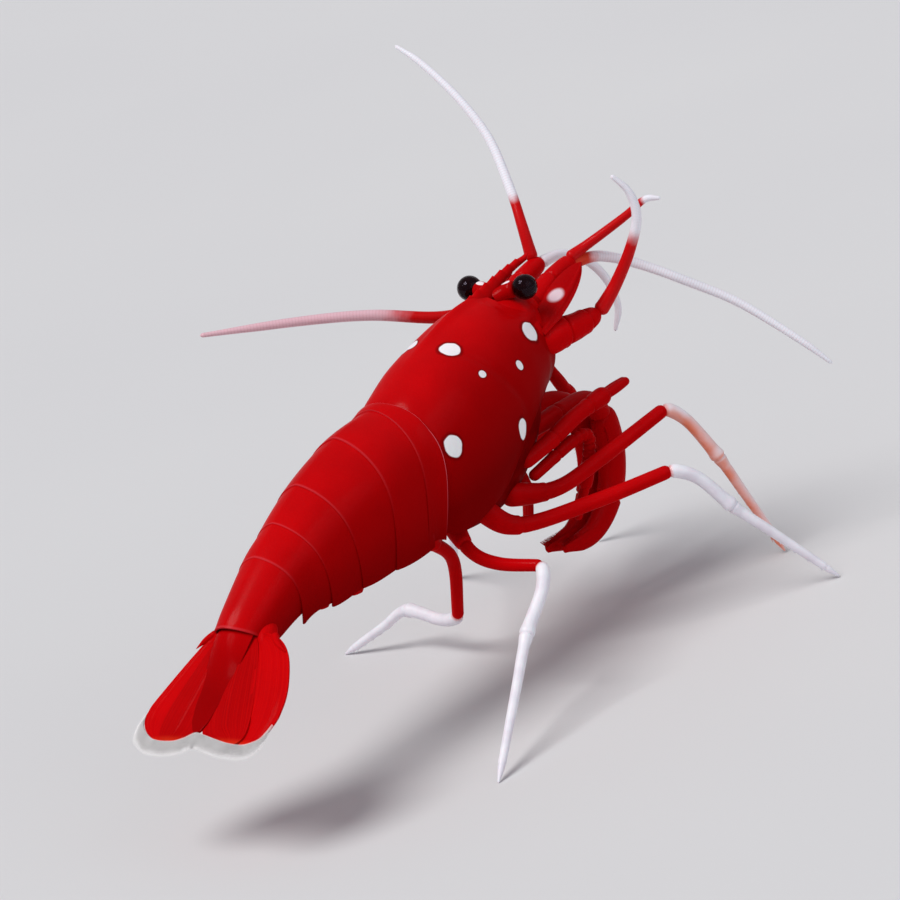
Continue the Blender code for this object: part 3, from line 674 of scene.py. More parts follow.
def body_shell(paint):
    """The red of the abdomen's rings, with painted shade deeper towards the belly and fine paler
    rims that are painted highlights.
    """
    around, along = paint.own()
    red = painted_side_shade(paint, mottled_red(paint), colours().underside, 0.24, 0.92)
    reach = abs(around * 2.0 - 1.0)
    # Painted highlight: pale pink lines along the rings' rear and front edges; the front one shows
    # only on the first ring.
    rear_rim_highlight = along.above(0.972, 0.010) * reach.below(0.45, 0.3) * 0.14
    front_rim_highlight = along.below(0.058, 0.012) * reach.below(0.70, 0.3) * 0.90
    shell_finish(paint, paint.mix(rear_rim_highlight + front_rim_highlight, red, (0.86, 0.16, 0.20)))


def body_axes():
    """The animal's forward, left and upward directions in the model's frame."""
    cos_p, sin_p = math.cos(BODY_PITCH), math.sin(BODY_PITCH)
    return Vector((cos_p, 0, sin_p)), Vector((0, 1, 0)), Vector((-sin_p, 0, cos_p))


def centred_place(paint, fold):
    """Object coordinates in mm from the body's middle plane, both sides folded onto one or not."""
    split = paint.node("ShaderNodeSeparateXYZ", i0=paint.place())
    y = paint.out(split, "Y") - ORIGIN_SHIFT.y
    made = paint.node("ShaderNodeCombineXYZ", X=paint.out(split, "X"),
                      Y=abs(y) if fold else y, Z=paint.out(split, "Z"))
    return paint.out(made)


def spot_distance(paint, place, centre, reach, turn):
    """One at the rim of an oval spot on the side of the body, less inside it."""
    forward, left, up = body_axes()
    middle = stand(centre) / MM
    middle.y = centre[1]
    outward = Vector((0.0, centre[1], centre[2] * 0.8)).normalized()
    outward = left * outward.y + up * outward.z
    across = forward.cross(outward).normalized()
    angle = math.radians(turn)
    long_axis = forward * math.cos(angle) + across * math.sin(angle)
    short_axis = across * math.cos(angle) - forward * math.sin(angle)
    away = paint.out(paint.node("ShaderNodeVectorMath", {"operation": "SUBTRACT"}, i0=place,
                                i1=middle))
    parts = [paint.dot(away, axis / size)
             for axis, size in ((long_axis, reach[0]), (short_axis, reach[1]), (outward, 2.2))]
    total = parts[0] * parts[0] + parts[1] * parts[1] + parts[2] * parts[2]
    return total.maths("SQRT", total)


def spotted_shell(paint):
    """The carapace's red, with painted shade deeper towards its lower edges, and its white spots,
    each in a thin dark rim.
    """
    red = painted_side_shade(paint, mottled_red(paint), colours().underside, 0.17, 1.20)
    place = centred_place(paint, True)
    wobble = (paint.noise(place, 1.1, 1.0) - 0.5) * 0.5
    across = paint.part(paint.place(), "Y") - ORIGIN_SHIFT.y
    outer = (paint.facing("Y") * across).above(0.0, 0.02)
    white, rim = None, None
    one_sided = centred_place(paint, False)
    for centre, reach, turn in (*SPOTS, LEFT_SPOT):
        where = one_sided if centre == LEFT_SPOT[0] else place
        distance = spot_distance(paint, where, centre, reach, turn) + wobble
        inside = distance.below(1.0, 0.06)
        round_it = distance.below(1.26, 0.14)
        white = inside if white is None else white.maths("MAXIMUM", white, inside)
        rim = round_it if rim is None else rim.maths("MAXIMUM", rim, round_it)
    dimmed = paint.mix(rim * 0.75, red, shade(colours().deep_red, 0.45))
    shell_finish(paint, paint.mix(white * outer, dimmed, colours().spot))


def plain_shell(paint, first, second, gloss):
    """One finish for shells of a single hue, from two shades of it."""
    clouds = paint.noise(paint.place(), 0.9, 3.0)
    shell_finish(paint, paint.mix(clouds.above(0.5, 0.2), first, second), gloss)
    paint.give(Subsurface_Weight=0.12)


def feeler_paint(paint, change_at, first, second, softness=0.03):
    """A ringed feeler whose colour changes at a share of its length."""
    _, along = paint.own()
    patchy = paint.noise(paint.place(), 1.3, 2.0)
    change = (along + patchy * 0.06).above(change_at + 0.03, softness)
    ring = along.maths("SINE", along * (FEELER_RINGS * math.tau))
    groove = ring.below(-0.70, 0.3)
    colour = paint.mix(change, first, second)
    colour = paint.mix(groove * 0.10, colour, shade(first, 0.5))
    paint.give(Base_Color=colour, Roughness=0.34 + 0.12 * patchy, Specular_IOR_Level=0.08,
               Subsurface_Weight=0.08, Subsurface_Radius=(0.8, 0.4, 0.4),
               Subsurface_Scale=0.25 * MM, Coat_Weight=0.05)
    paint.bump(1 - groove, 0.25, 0.02)


# ---------------------------------------------------------------- body shapes

def shell_section(share, top, bottom, half_width, keel=1.0, taper=0.16):
    """Round back, steep sides: y and z of a share of the way round from right edge to left."""
    reach = 2 * share - 1
    sign = -1 if reach < 0 else 1
    reach = abs(reach)
    shoulder = bottom + 0.48 * (top - bottom)
    turn = 0.62
    if reach <= turn:
        angle = reach / turn * math.pi / 2
        rise = (top - shoulder) * math.cos(angle) ** 0.9
        return sign * half_width * math.sin(angle) ** keel, shoulder + rise
    down = (reach - turn) / (1 - turn)
    return sign * half_width * (1 - taper * down ** 1.7), shoulder + (bottom - shoulder) * down


def carapace_x(share, z):
    rear = REAR_TOP_X - REAR_LEAN * (CARAPACE_STATIONS[0][1] - z)
    rise = z - FRONT_TURN_Z
    curve = FRONT_CURVE_UP if rise > 0 else FRONT_CURVE_DOWN
    front = FRONT_X - curve * rise * rise
    return rear + (front - rear) * share


def carapace_surface(around, share):
    top, bottom, half_width = table_value(CARAPACE_STATIONS, share)
    taper = 0.16 + FRONT_TAPER * ease((share - 0.66) / 0.34)
    y, z = shell_section(around, top, bottom, half_width, taper=taper)
    x = carapace_x(share, z)
    front = ease((share - 0.72) / 0.28)
    orbit = 0.40 * hump(z, 4.15, 0.55) * clamp(abs(y) / 1.2)
    spine = 0.50 * hump(z, 3.0, 0.20)
    x += front * (spine - orbit)
    ridge = 0.30 * hump(y, 0.0, 0.34) * ease((share - 0.22) / 0.6)
    groove = 0.10 * hump(share, 0.60 - 0.03 * (z - 1.0), 0.025) * ease((abs(y) - 1.4) / 1.2)
    edge = 0.06 * ease((share - 0.955) / 0.03) - 0.05 * ease((0.03 - share) / 0.03)
    tuck = 1 - 0.045 * (1 - ease(share / 0.10))
    behind = 1 - ease(share / 0.36)
    z -= REAR_DIP * behind * clamp((z - bottom) / (top - bottom)) ** 3
    pinch = REAR_PINCH * behind * clamp(z / top)
    y *= tuck - pinch + (edge - groove) / max(0.4, half_width)
    return stand((x, y, z * tuck + ridge - groove * 0.5 + edge * 0.4))


def rostrum_top(x):
    """The toothed edge: level over the carapace, then falling a little towards the tip."""
    ahead = max(0.0, x - EYE_CENTRE[0])
    return ROSTRUM_TOP_Z - 0.025 * ahead * ahead


def rostrum_teeth(x):
    """Height of the forward-pointing teeth along the upper edge."""
    count = sizes().rostrum_teeth
    spacing = (ROSTRUM_TIP_X - 1.0 - FIRST_TOOTH_X) / count
    place = (x - FIRST_TOOTH_X) / spacing
    if place < 0 or place > count:
        return 0.0
    part = place % 1.0
    rise = (part / 0.86) ** 1.8 if part < 0.86 else 1 - ((part - 0.86) / 0.14) ** 0.8
    return TOOTH_HEIGHT * rise * (1 - 0.35 * abs(place / count - 0.45))


def rostrum_surface(around, share):
    x = ROSTRUM_ROOT_X + (ROSTRUM_TIP_X - ROSTRUM_ROOT_X) * share
    tip = clamp((1 - share) / 0.06)
    tooth = rostrum_teeth(x)
    top = rostrum_top(x)
    low = ROSTRUM_LOW_Z + (ROSTRUM_TIP_Z - 0.35 - ROSTRUM_LOW_Z) * ease((x - 5.5) / 4.0)
    top = ROSTRUM_TIP_Z + (top - ROSTRUM_TIP_Z) * tip
    low = ROSTRUM_TIP_Z + (low - ROSTRUM_TIP_Z) * tip
    angle = math.tau * around
    height = 0.5 - 0.5 * math.cos(angle)
    z = low + (top + tooth - low) * height
    below = clamp((top - z) / max(0.1, top - low))
    flare = 0.16 * max(0.0, 9.8 - x) * below ** 1.5
    thickness = (0.26 * (1 - 0.55 * tooth / TOOTH_HEIGHT * height ** 3) + flare) * tip ** 0.5
    return stand((x, math.sin(angle) * thickness, z))


def somite_line(position):
    rows = [(i, *back, *belly, width) for i, (back, belly, width) in enumerate(SOMITE_JOINTS)]
    back_x, back_z, belly_x, belly_z, half_width = table_value(rows, position)
    return Vector((back_x, back_z)), Vector((belly_x, belly_z)), half_width


# Each ring of the abdomen: how far its flap hangs, spreads and leans back, and how pointed it is
FLAPS = {1: (-0.45, 0.0, 0.0, 0.0), 2: (0.22, 0.6, 0.0, 0.0), 3: (0.22, 0.2, 0.15, 0.1),
         4: (0.25, 0.1, 0.35, 0.4), 5: (0.55, 0.0, 0.55, 1.0), 6: (0.0, 0.0, 0.0, 0.0)}
KEEL = 1.38
PADDLE_SIZES = (0.7, 1.0, 1.05, 1.25, 1.1)


def somite_surface(number):
    """The surface of one ring of the abdomen, its rear edge laid over the next one."""
    drop, spread, lean, pointed = FLAPS[number]

    def surface(around, share):
        start = number - 1.16
        if number == 1:
            start = 0.72 - 1.12 * ease(abs(2 * around - 1) / 0.60)
        end = number + (0.045 if number < 6 else 0.06)
        position = start + (end - start) * share
        back, belly, half_width = somite_line(clamp(position, 0.0, 6.0))
        beyond = position - clamp(position, 0.0, 6.0)
        step = Vector((-1.2, -0.1)) if beyond < 0 else Vector((-3.6, -1.7))
        back, belly = back + step * beyond, belly + step * beyond
        swell = 0.988 + 0.018 * ease((share - 0.12) / 0.8) + 0.004 * hump(share, 0.975, 0.015)
        down = clamp((abs(2 * around - 1) - 0.62) / 0.38)
        if number == 1:
            swell = 1.134 - 0.127 * ease(share) - 0.014 * (1 - ease(share / 0.04))
            swell += (1.0 - swell) * 0.7 * down
        if number == 6:
            swell -= 0.030 * ease((share - 0.7) / 0.3)
        length = (back - belly).length
        keel = 1 + (KEEL - 1) * ease(position / 1.8)
        y, height = shell_section(around, length, 0.0, half_width, keel)
        round_lobe = math.sin(math.pi * clamp(share * 0.94 + 0.03)) ** 0.55
        sharp_lobe = clamp(share * 1.04) ** 2.2
        height -= drop * (round_lobe + (sharp_lobe - round_lobe) * pointed) * down ** 1.5
        middle = belly.lerp(back, 0.5)
        point = belly + (back - belly) * (height / length)
        point = middle + (point - middle) * swell
        if number == 1:
            point.y -= REAR_DIP * (1 - ease(share / 0.9)) * (1 - ease(abs(2 * around - 1) / 0.62))
        point += Vector((1, 0)) * down ** 2 * (spread * (0.5 - share) - lean * share)
        return stand((point.x, y * swell, point.y))

    return surface


def closed_line(corners, count):
    """Evenly numbered points on the smooth closed outline through the given corners."""
    points = [Vector((*corner, 0.0)) for corner in corners]
    line = []
    for i in range(len(points)):
        around = [points[(i + k) % len(points)] for k in (-1, 0, 1, 2)]
        line += [curve_point(around, step / count) for step in range(count)]
    return line


def blade_edges(corners, count):
    """The inner and outer edges of a tail blade, each from its root to its tip."""
    steps = 16
    line = closed_line(corners, steps)
    reaches = [corner[0] for corner in corners]
    tip = reaches.index(max(reaches)) * steps
    outer = line[:tip + 1]
    inner = [line[0], *reversed(line[tip:])]
    return resample(inner, count), resample(outer, count)


def blade_crown(around, share, ribs):
    """How far a blade arches and its ribs stand up, in mm."""
    crown = 0.14 * math.sin(math.pi * around) * math.sin(math.pi * clamp(share * 0.9 + 0.08))
    for place, height in ribs:
        crown += height * hump(around, place, 0.04) * (1 - ease((share - 0.72) / 0.25))
    return crown


def blade_surface(corners, side, lift, ribs, step=0.0):
    """A crowned leaf of the tail fan with raised ribs and, on an outer one, the cross joint."""
    count = 49
    inner, outer = blade_edges(corners, count)

    def surface(around, share):
        index = round(share * (count - 1))
        point = inner[index].lerp(outer[index], around)
        crown = blade_crown(around, share, ribs)
        crown -= step * ease((point.x - 4.9 + 0.25 * math.cos(math.pi * around * 2)) / 0.12)
        return fan_point(point.x, point.y * side, lift + crown)

    return surface


def telson_surface(around, share):
    half_width = table_value(TELSON_HALF_WIDTHS, share)[0]
    reach = -1.3 + (TELSON_LENGTH + 1.1) * share
    across = 2 * around - 1
    point = 0.20 * (1 - across ** 2) * ease((share - 0.9) / 0.1)
    root = 0.76 * (1 - ease((reach - 0.1) / 3.0)) - 0.75 * (1 - ease((reach + 1.3) / 1.5))
    crown = 0.15 * (1 - across ** 2) * (1 - 0.75 * share) + root * (1 - 0.85 * across ** 2)
    return fan_point(reach + point, across * half_width, PLATE_LIFT - 0.10 + crown)


def protopod_line(side):
    """The short stalk that carries both blades of one side."""
    return smooth_line([fan_point(-1.7, 0.90 * side, -0.85), fan_point(-0.5, 1.50 * side, -0.72),
                        fan_point(1.1, 2.40 * side, -0.42)], 30)


# ---------------------------------------------------------------- sizes and colours

def length_property(name, description, value, low, high):
    return bpy.props.FloatProperty(name=name, description=description, default=value * MM,
                                   min=low * MM, max=high * MM, subtype="DISTANCE", unit="LENGTH")


class ShrimpSizes(bpy.types.PropertyGroup):
    eye_radius: length_property("Eye radius", "Radius of the black eye", 0.78, 0.4, 1.2)
    shell_thickness: length_property(
        "Shell thickness", "Thickness of the carapace and abdomen shells", 0.12, 0.05, 0.4)
    fringe_length: length_property(
        "Fringe length", "Length of the hairs round the tail fan", 0.95, 0.2, 2.0)
    rostrum_teeth: bpy.props.IntProperty(
        name="Rostrum teeth", description="Teeth on the upper edge of the rostrum",
        default=8, min=2, max=12)


def colour_property(name, description, value):
    return bpy.props.FloatVectorProperty(name=name, description=description, default=value,
                                         size=3, min=0.0, max=1.0, subtype="COLOR")


class ShrimpColours(bpy.types.PropertyGroup):
    red: colour_property("Red", "Lit red of the shells", (0.60, 0.0015, 0.003))
    deep_red: colour_property("Deep red", "Shaded red of the shells", (0.36, 0.0008, 0.002))
    # Painted shade: the dark red that the shells deepen to at their lower edges and that the flesh
    # under the carapace and the belly inside are painted with; the feelers' stems also take it at a
    # dark joint.
    underside: colour_property("Underside", "Dark red between the legs", (0.20, 0.0002, 0.0005))
    white: colour_property("White", "White of the shins and feelers", (0.92, 0.91, 0.98))
    spot: colour_property("Spots", "White of the body's spots", (0.97, 0.97, 0.98))
    eye: colour_property("Eyes", "Black of the eyes", (0.0015, 0.001, 0.002))
    blush: colour_property("Blush", "Pinkish orange of the third pair's shins", (0.85, 0.20, 0.09))


# ---------------------------------------------------------------- operators

class MESH_OT_shrimp_carapace(bpy.types.Operator):
    """Adds the carapace with its toothed rostrum and the spines beside the eyes"""
    bl_idname = "mesh.shrimp_carapace"
    bl_label = "Carapace"

    def execute(self, context):
        shell = drape_shell("carapace_shell", 96, 88, carapace_surface, stand((1.0, 0.0, 0.0)),
                            sizes().shell_thickness, even=True)
        blade = drape_closed("rostrum", 24, 170, rostrum_surface)
        shell = join([shell, blade], "carapace_shell")
        dress(shell, painted("carapace_red", spotted_shell), "shell", "carapace", angle=60)
        return {"FINISHED"}


class MESH_OT_shrimp_underside(bpy.types.Operator):
    """Adds the flesh inside the carapace and the underside that carries the legs"""
    bl_idname = "mesh.shrimp_underside"
    bl_label = "Underside"

    def execute(self, context):
        def surface(around, share):
            share = clamp(share, 0.0, 1.0)
            x = CORE_REAR_X + (CORE_FRONT_X - CORE_REAR_X) * share
            end = math.sqrt(max(0.0, 1 - (2 * share - 1) ** 6))
            top, _, half_width = table_value(CARAPACE_STATIONS, clamp((x + 5.5) / 13.0))
            angle = math.tau * around
            low = CORE_BOTTOM + (CORE_RISE_AHEAD if x > 0 else CORE_RISE_BEHIND) * x ** 2
            middle = (top + low) / 2 - 0.3
            tuck = 0.55 * ease((-0.1 - math.cos(angle)) / 0.6)
            y = math.sin(angle) * (half_width * 0.88 - tuck)
            if math.cos(angle) > 0:
                z = middle + math.cos(angle) * (top - 0.5 - middle)
            else:
                z = middle - (-math.cos(angle)) ** 0.6 * (middle - low)
            return stand((x, y * end, middle + (z - middle) * (0.25 + 0.75 * end)))

        core = drape_closed("thorax_core", 48, 40, surface)
        # Painted shade: the flesh under the carapace is painted in the darkest reds, where shade
        # falls between the legs.
        material = painted("painted_shade_underside", plain_shell, shade(colours().underside, 0.6),
                           colours().underside, 0.42)
        dress(core, material, "shell_dark", "thorax_underside")
        head = drape_closed("head_flesh", 36, 32, self.head_surface)
        dress(head, painted("head_red", red_shell, 0.95), "shell")
        return {"FINISHED"}

    def head_surface(self, around, share):
        """The flesh between the eyes and the feelers' roots, which the carapace leaves open."""
        top, bottom, half_width = table_value(HEAD_STATIONS, share)
        x = HEAD_REAR_X + HEAD_LENGTH * share
        angle = math.tau * around
        end = 0.0 if share < 0.01 or share > 0.99 else 1.0
        middle = (top + bottom) / 2
        return stand((x, math.sin(angle) * half_width * end,
                      middle + math.cos(angle) * (top - middle) * end))


class MESH_OT_shrimp_abdomen(bpy.types.Operator):
    """Adds the six shell rings of the abdomen, each with its side flaps, and the belly inside"""
    bl_idname = "mesh.shrimp_abdomen"
    bl_label = "Abdomen"

    def execute(self, context):
        for number in range(1, 7):
            back, belly, _ = somite_line(number - 0.5)
            middle = belly.lerp(back, 0.5)
            ring = drape_shell(f"abdomen_shell_{number}", 72, 26, somite_surface(number),
                               stand((middle.x, 0.0, middle.y)), sizes().shell_thickness)
            dress(ring, painted("abdomen_red", body_shell), "shell", f"abdomen_{number}", angle=60)

        def inside(around, share):
            position = 0.1 + 5.88 * share
            back, belly, half_width = somite_line(position)
            angle = math.tau * around
            upwards = back - belly
            height = 0.50 - 0.36 * math.cos(angle)
            fold = 1 - 0.035 * math.cos(math.tau * position)
            end = 0.0 if share in (0.0, 1.0) else 1.0
            middle = belly + upwards * 0.55
            point = middle + (belly + upwards * height * fold - middle) * end
            return stand((point.x, math.sin(angle) * half_width * 0.72 * end * fold, point.y))

        core = drape_closed("abdomen_core", 40, 96, inside)
        # Painted shade: the belly inside the abdomen, seen between the rings' flaps, is painted in
        # the dark reds.
        material = painted("belly_red", plain_shell, colours().deep_red, colours().underside, 0.4)
        dress(core, material, "shell")
        return {"FINISHED"}


def strand_mesh(name, strands):
    """One mesh of fine flat hairs, each from a root, a tip, a sideways half width and a patch."""
    verts, faces, patches = [], [], []
    for root, tip, across, patch in strands:
        start = len(verts)
        for share, width in ((0.0, 1.0), (0.55, 0.8), (1.0, 0.25)):
            centre = root.lerp(tip, share)
            verts += [centre - across * width, centre + across * width]
        faces += [(start, start + 1, start + 3, start + 2),
                  (start + 2, start + 3, start + 5, start + 4)]
        patches += [(patch, 0.0), (patch, 0.5)]
    mesh = bpy.data.meshes.new(name)
    mesh.from_pydata(verts, [], faces)
    layer = mesh.uv_layers.new(name="OFBake")
    for face, (patch, low) in zip(mesh.polygons, patches):
        corners = ((0, low), (1, low), (1, low + 0.5), (0, low + 0.5))
        for loop, corner in zip(face.loop_indices, corners):
            layer.data[loop].uv = (patch[0] + 0.003 * corner[0], patch[1] + 0.003 * corner[1])
    obj = bpy.data.objects.new(name, mesh)
    bpy.context.scene.collection.objects.link(obj)
    return obj


def fringe_strands(count, rows):
    """Fine hairs that stand out from the rear edge of the fan, in a few rows above one another."""
    line = smooth_line([(*corner, 0.0) for corner in FRINGE_ROOTS], 400)
    full = sizes().fringe_length / MM
    strands = []
    for row in range(rows):
        for i in range(count):
            share = (i + row / rows) / count
            place = share * (len(line) - 1)
            low = min(int(place), len(line) - 2)
            root = line[low].lerp(line[low + 1], place - low)
            along = (line[min(low + 4, len(line) - 1)] - line[max(low - 3, 0)]).normalized()
            outward = Vector((-along.y, along.x, 0.0))
            lean = 0.10 * wave((i * 0.17, row, 4.0), 1.0)
            direction = (outward + along * lean + Vector((0.35, 0.0, 0.0))).normalized()
            end = ease(share / 0.10) * ease((1 - share) / 0.16)
            reach = full * end * (0.97 + 0.05 * wave((i * 0.61, row, 0.0), 1.0))
            tip = root + direction * reach
            root -= direction * 0.07
            across = Vector((-direction.y, direction.x, 0.0)) * 0.017
            lift = 0.05 * (row - 1) - 0.22 * ease((abs(root.y) - 2.8) / 1.2)
            sag = lift + 0.05 * wave((i * 0.41, row, 9.0), 1.0)
            strands.append((fan_point(root.x, root.y, lift), fan_point(tip.x, tip.y, sag),
                            fan_point(across.x, across.y, 0) - fan_point(0, 0, 0),
                            (0.02 + 0.94 * share, 0.02 + row * 0.08)))
    return strands


def fringe_paint(paint):
    cloudy = paint.noise(paint.place(), 1.2, 2.0)
    # Painted light: a faint white glow is given to the hairs, so that they stay bright where they
    # are shaded.
    paint.give(Base_Color=paint.mix(cloudy, (0.93, 0.91, 0.90), (1.0, 0.98, 0.98)), Roughness=0.6,
               Alpha=0.10 + 0.08 * cloudy, Emission_Color=(1.0, 0.97, 0.96, 1.0),
               Emission_Strength=0.05)


class MESH_OT_shrimp_tail_fan(bpy.types.Operator):
    """Adds the telson, the four blades of the tail fan and the fringe of hairs round them"""
    bl_idname = "mesh.shrimp_tail_fan"
    bl_label = "Tail fan"

    def execute(self, context):
        telson = drape_shell("telson_plate", 32, 64, telson_surface, fan_point(3.0, 0.0, -3.0),
                             0.20 * MM)
        dress(telson, painted("telson_red", self.telson_finish), "shell", "telson", angle=60)
        for name, side in SIDES:
            for kind, corners, lift in (("inner", INNER_BLADES[name], 0.0),
                                        ("outer", OUTER_BLADES[name], -PLATE_LIFT)):
                blade = self.blade(name, side, kind, corners, lift)
                material = painted(f"tail_{kind}_red", self.blade_finish, kind)
                dress(blade, material, "shell", f"uropod_{name}_{kind}", angle=60)
        coat = strand_mesh("tail_fringe", fringe_strands(1500, 4))
        dress(coat, painted("fringe_hair", fringe_paint), "white_shell", angle=None)
        return {"FINISHED"}

    def blade(self, name, side, kind, corners, lift):
        """One blade with its ribs, and on the outer one the stalk and its spine."""
        ribs = ((0.5, 0.06),) if kind == "inner" else ((0.42, 0.06), (0.86, 0.08))
        step = 0.0 if kind == "inner" else 0.05
        surface = blade_surface(corners, side, lift - 0.05, ribs, step)
        blade = drape_shell(f"tail_blade_{name}_{kind}", 36, 48, surface,
                            fan_point(3.0, 2.0 * side, lift - 3.0), 0.12 * MM)
        if kind == "outer":
            stalk = limb("stalk", protopod_line(side),
                         ((0.0, 0.60), (0.4, 0.70), (0.75, 0.42), (1.0, 0.12)), 24)
            root, shoulder = corners[1][1], corners[2][1]
            ridge = [fan_point(-0.5, (root - 0.3) * side, lift - 0.1),
                     fan_point(0.15, (root + 0.3) * side, lift),
                     fan_point(0.75, (shoulder - 0.05) * side, lift + 0.05)]
            spine = limb("spine", smooth_line(ridge, 14),
                         ((0.0, 0.24), (0.5, 0.18), (1.0, 0.03)), 12)
            blade = join([blade, stalk, spine], f"tail_blade_{name}_{kind}")
        return blade

    def telson_finish(self, paint):
        _, along = paint.own()
        # Painted shade: the rear part of the telson is mixed towards the dark underside red, for
        # the shade down the middle of the fan.
        dark = paint.mix(along.above(0.45, 0.3) * 0.65, mottled_red(paint, 0.85),
                         colours().underside)
        shell_finish(paint, dark, coat=0.02)

    def blade_finish(self, paint, kind):
        around, _ = paint.own()
        streaks = paint.out(paint.node("ShaderNodeTexNoise", {"noise_dimensions": "1D"},
                                       w=around * 30.0, scale=1.0, detail=3.0), "Fac")
        red = mottled_red(paint, 0.78 if kind == "inner" else 1.0)
        lit = paint.mix(streaks.above(0.56, 0.12) * 0.25, red, (0.78, 0.006, 0.004))
        rim = paint.fan_reach().above(6.70, 0.28) * 0.50
        shell_finish(paint, paint.mix(rim, lit, (0.95, 0.06, 0.015)), 0.34, coat=0.02)
        paint.bump(streaks, 0.30, 0.04)


class MESH_OT_shrimp_eyes(bpy.types.Operator):
    """Adds the black eyes, each under a thin clear dome, on their short stalks"""
    bl_idname = "mesh.shrimp_eyes"
    bl_label = "Eyes"

    def execute(self, context):
        for name, side in SIDES:
            centre = stand(to_side(EYE_CENTRE, side))
            ball = self.ball(f"eye_ball_{name}", centre, 0.90)
            material = painted("eye_black", self.eye_finish)
            dress(ball, material, "eye", f"eye_{name}", angle=60)
            dome = self.ball(f"eye_dome_{name}", centre, 1.0)
            dress(dome, painted("eye_dome", self.dome_finish), "eye", angle=60)
            stalk = limb(f"stalk_{name}", body_line(STALK, 40, side),
                         ((0.0, 0.52), (0.40, 0.50), (0.72, 0.56), (0.90, 0.64), (1.0, 0.62)), 32,
                         round_start=False)
            dress(stalk, painted("stalk_red", self.stalk_finish), "shell", f"eyestalk_{name}")
        return {"FINISHED"}

    def ball(self, name, centre, share):
        start_fresh()
        bpy.ops.mesh.primitive_uv_sphere_add(segments=64, ring_count=40,
                                             radius=sizes().eye_radius * share, location=centre)
        ball = bpy.context.object
        ball.name = name
        bpy.ops.object.transform_apply(location=True, rotation=False, scale=False)
        return ball

    def eye_finish(self, paint):
        clouds = paint.noise(paint.place(), 2.0, 2.0)
        paint.give(Base_Color=paint.mix(clouds, (0.002, 0.001, 0.002), colours().eye),
                   Roughness=0.60 + 0.10 * clouds, Specular_IOR_Level=0.01)

    def dome_finish(self, paint):
        fine = paint.noise(paint.place(), 6.0, 2.0)
        paint.give(Base_Color=paint.mix(fine, (0.006, 0.001, 0.001), (0.014, 0.002, 0.002)),
                   Roughness=0.07 + 0.02 * fine, Alpha=0.70 + 0.08 * fine,
                   Specular_IOR_Level=0.20, Specular_Tint=(0.85, 0.75, 1.0, 1.0))

    def stalk_finish(self, paint):
        place = centred_place(paint, True)
        _, along = paint.own()
        red = mottled_red(paint, 0.8)
        mark = spot_distance(paint, place, STALK_MARK, (0.20, 0.30), 0).below(1.0, 0.10)
        collar = along.above(0.90, 0.03)
        dark = paint.mix(collar, red, (0.06, 0.004, 0.006))
        shell_finish(paint, paint.mix(mark, dark, colours().spot))


class MESH_OT_shrimp_antennules(bpy.types.Operator):
    """Adds the upper pair of feelers: a jointed base and two whips on each side"""
    bl_idname = "mesh.shrimp_antennules"
    bl_label = "Antennules"

    def execute(self, context):
        red, white = colours().red, colours().white
        orange = (0.72, 0.05, 0.02)
        schemes = {"right_outer": (0.10, orange, white), "left_outer": (0.24, red, white),
                   "right_inner": (0.84, red, white), "left_inner": (-0.10, red, white)}
        for name, side in SIDES:
            base = limb(f"antennule_stem_{name}", body_line(ANTENNULE_BASE, 72, side),
                        ((0.0, 0.74), (0.30, 0.76), (0.60, 0.68), (0.85, 0.62), (1.0, 0.52)), 26,
                        joints=(0.40, 0.70))
            dress(base, painted("stem_red", self.stem_finish), "shell", f"antennule_{name}_base")
            for kind in ("outer", "inner"):
                key = f"{name}_{kind}"
                whip = limb(f"antennule_whip_{key}", body_line(ANTENNULE_WHIPS[key], 130),
                            ((0.0, 0.42), (0.06, 0.37), (0.20, 0.31), (0.6, 0.27), (0.9, 0.21),
                             (1.0, 0.12)), 16)
                material = painted(f"whip_{key}", feeler_paint, *schemes[key])
                dress(whip, material, "white_shell", f"antennule_{name}_{kind}")
        return {"FINISHED"}

    def stem_finish(self, paint):
        _, along = paint.own()
        joint = (along.below(0.395, 0.01) + along.above(0.43, 0.01)).below(0.5, 0.2)
        shell_finish(paint, paint.mix(joint * 0.5, mottled_red(paint), colours().underside))


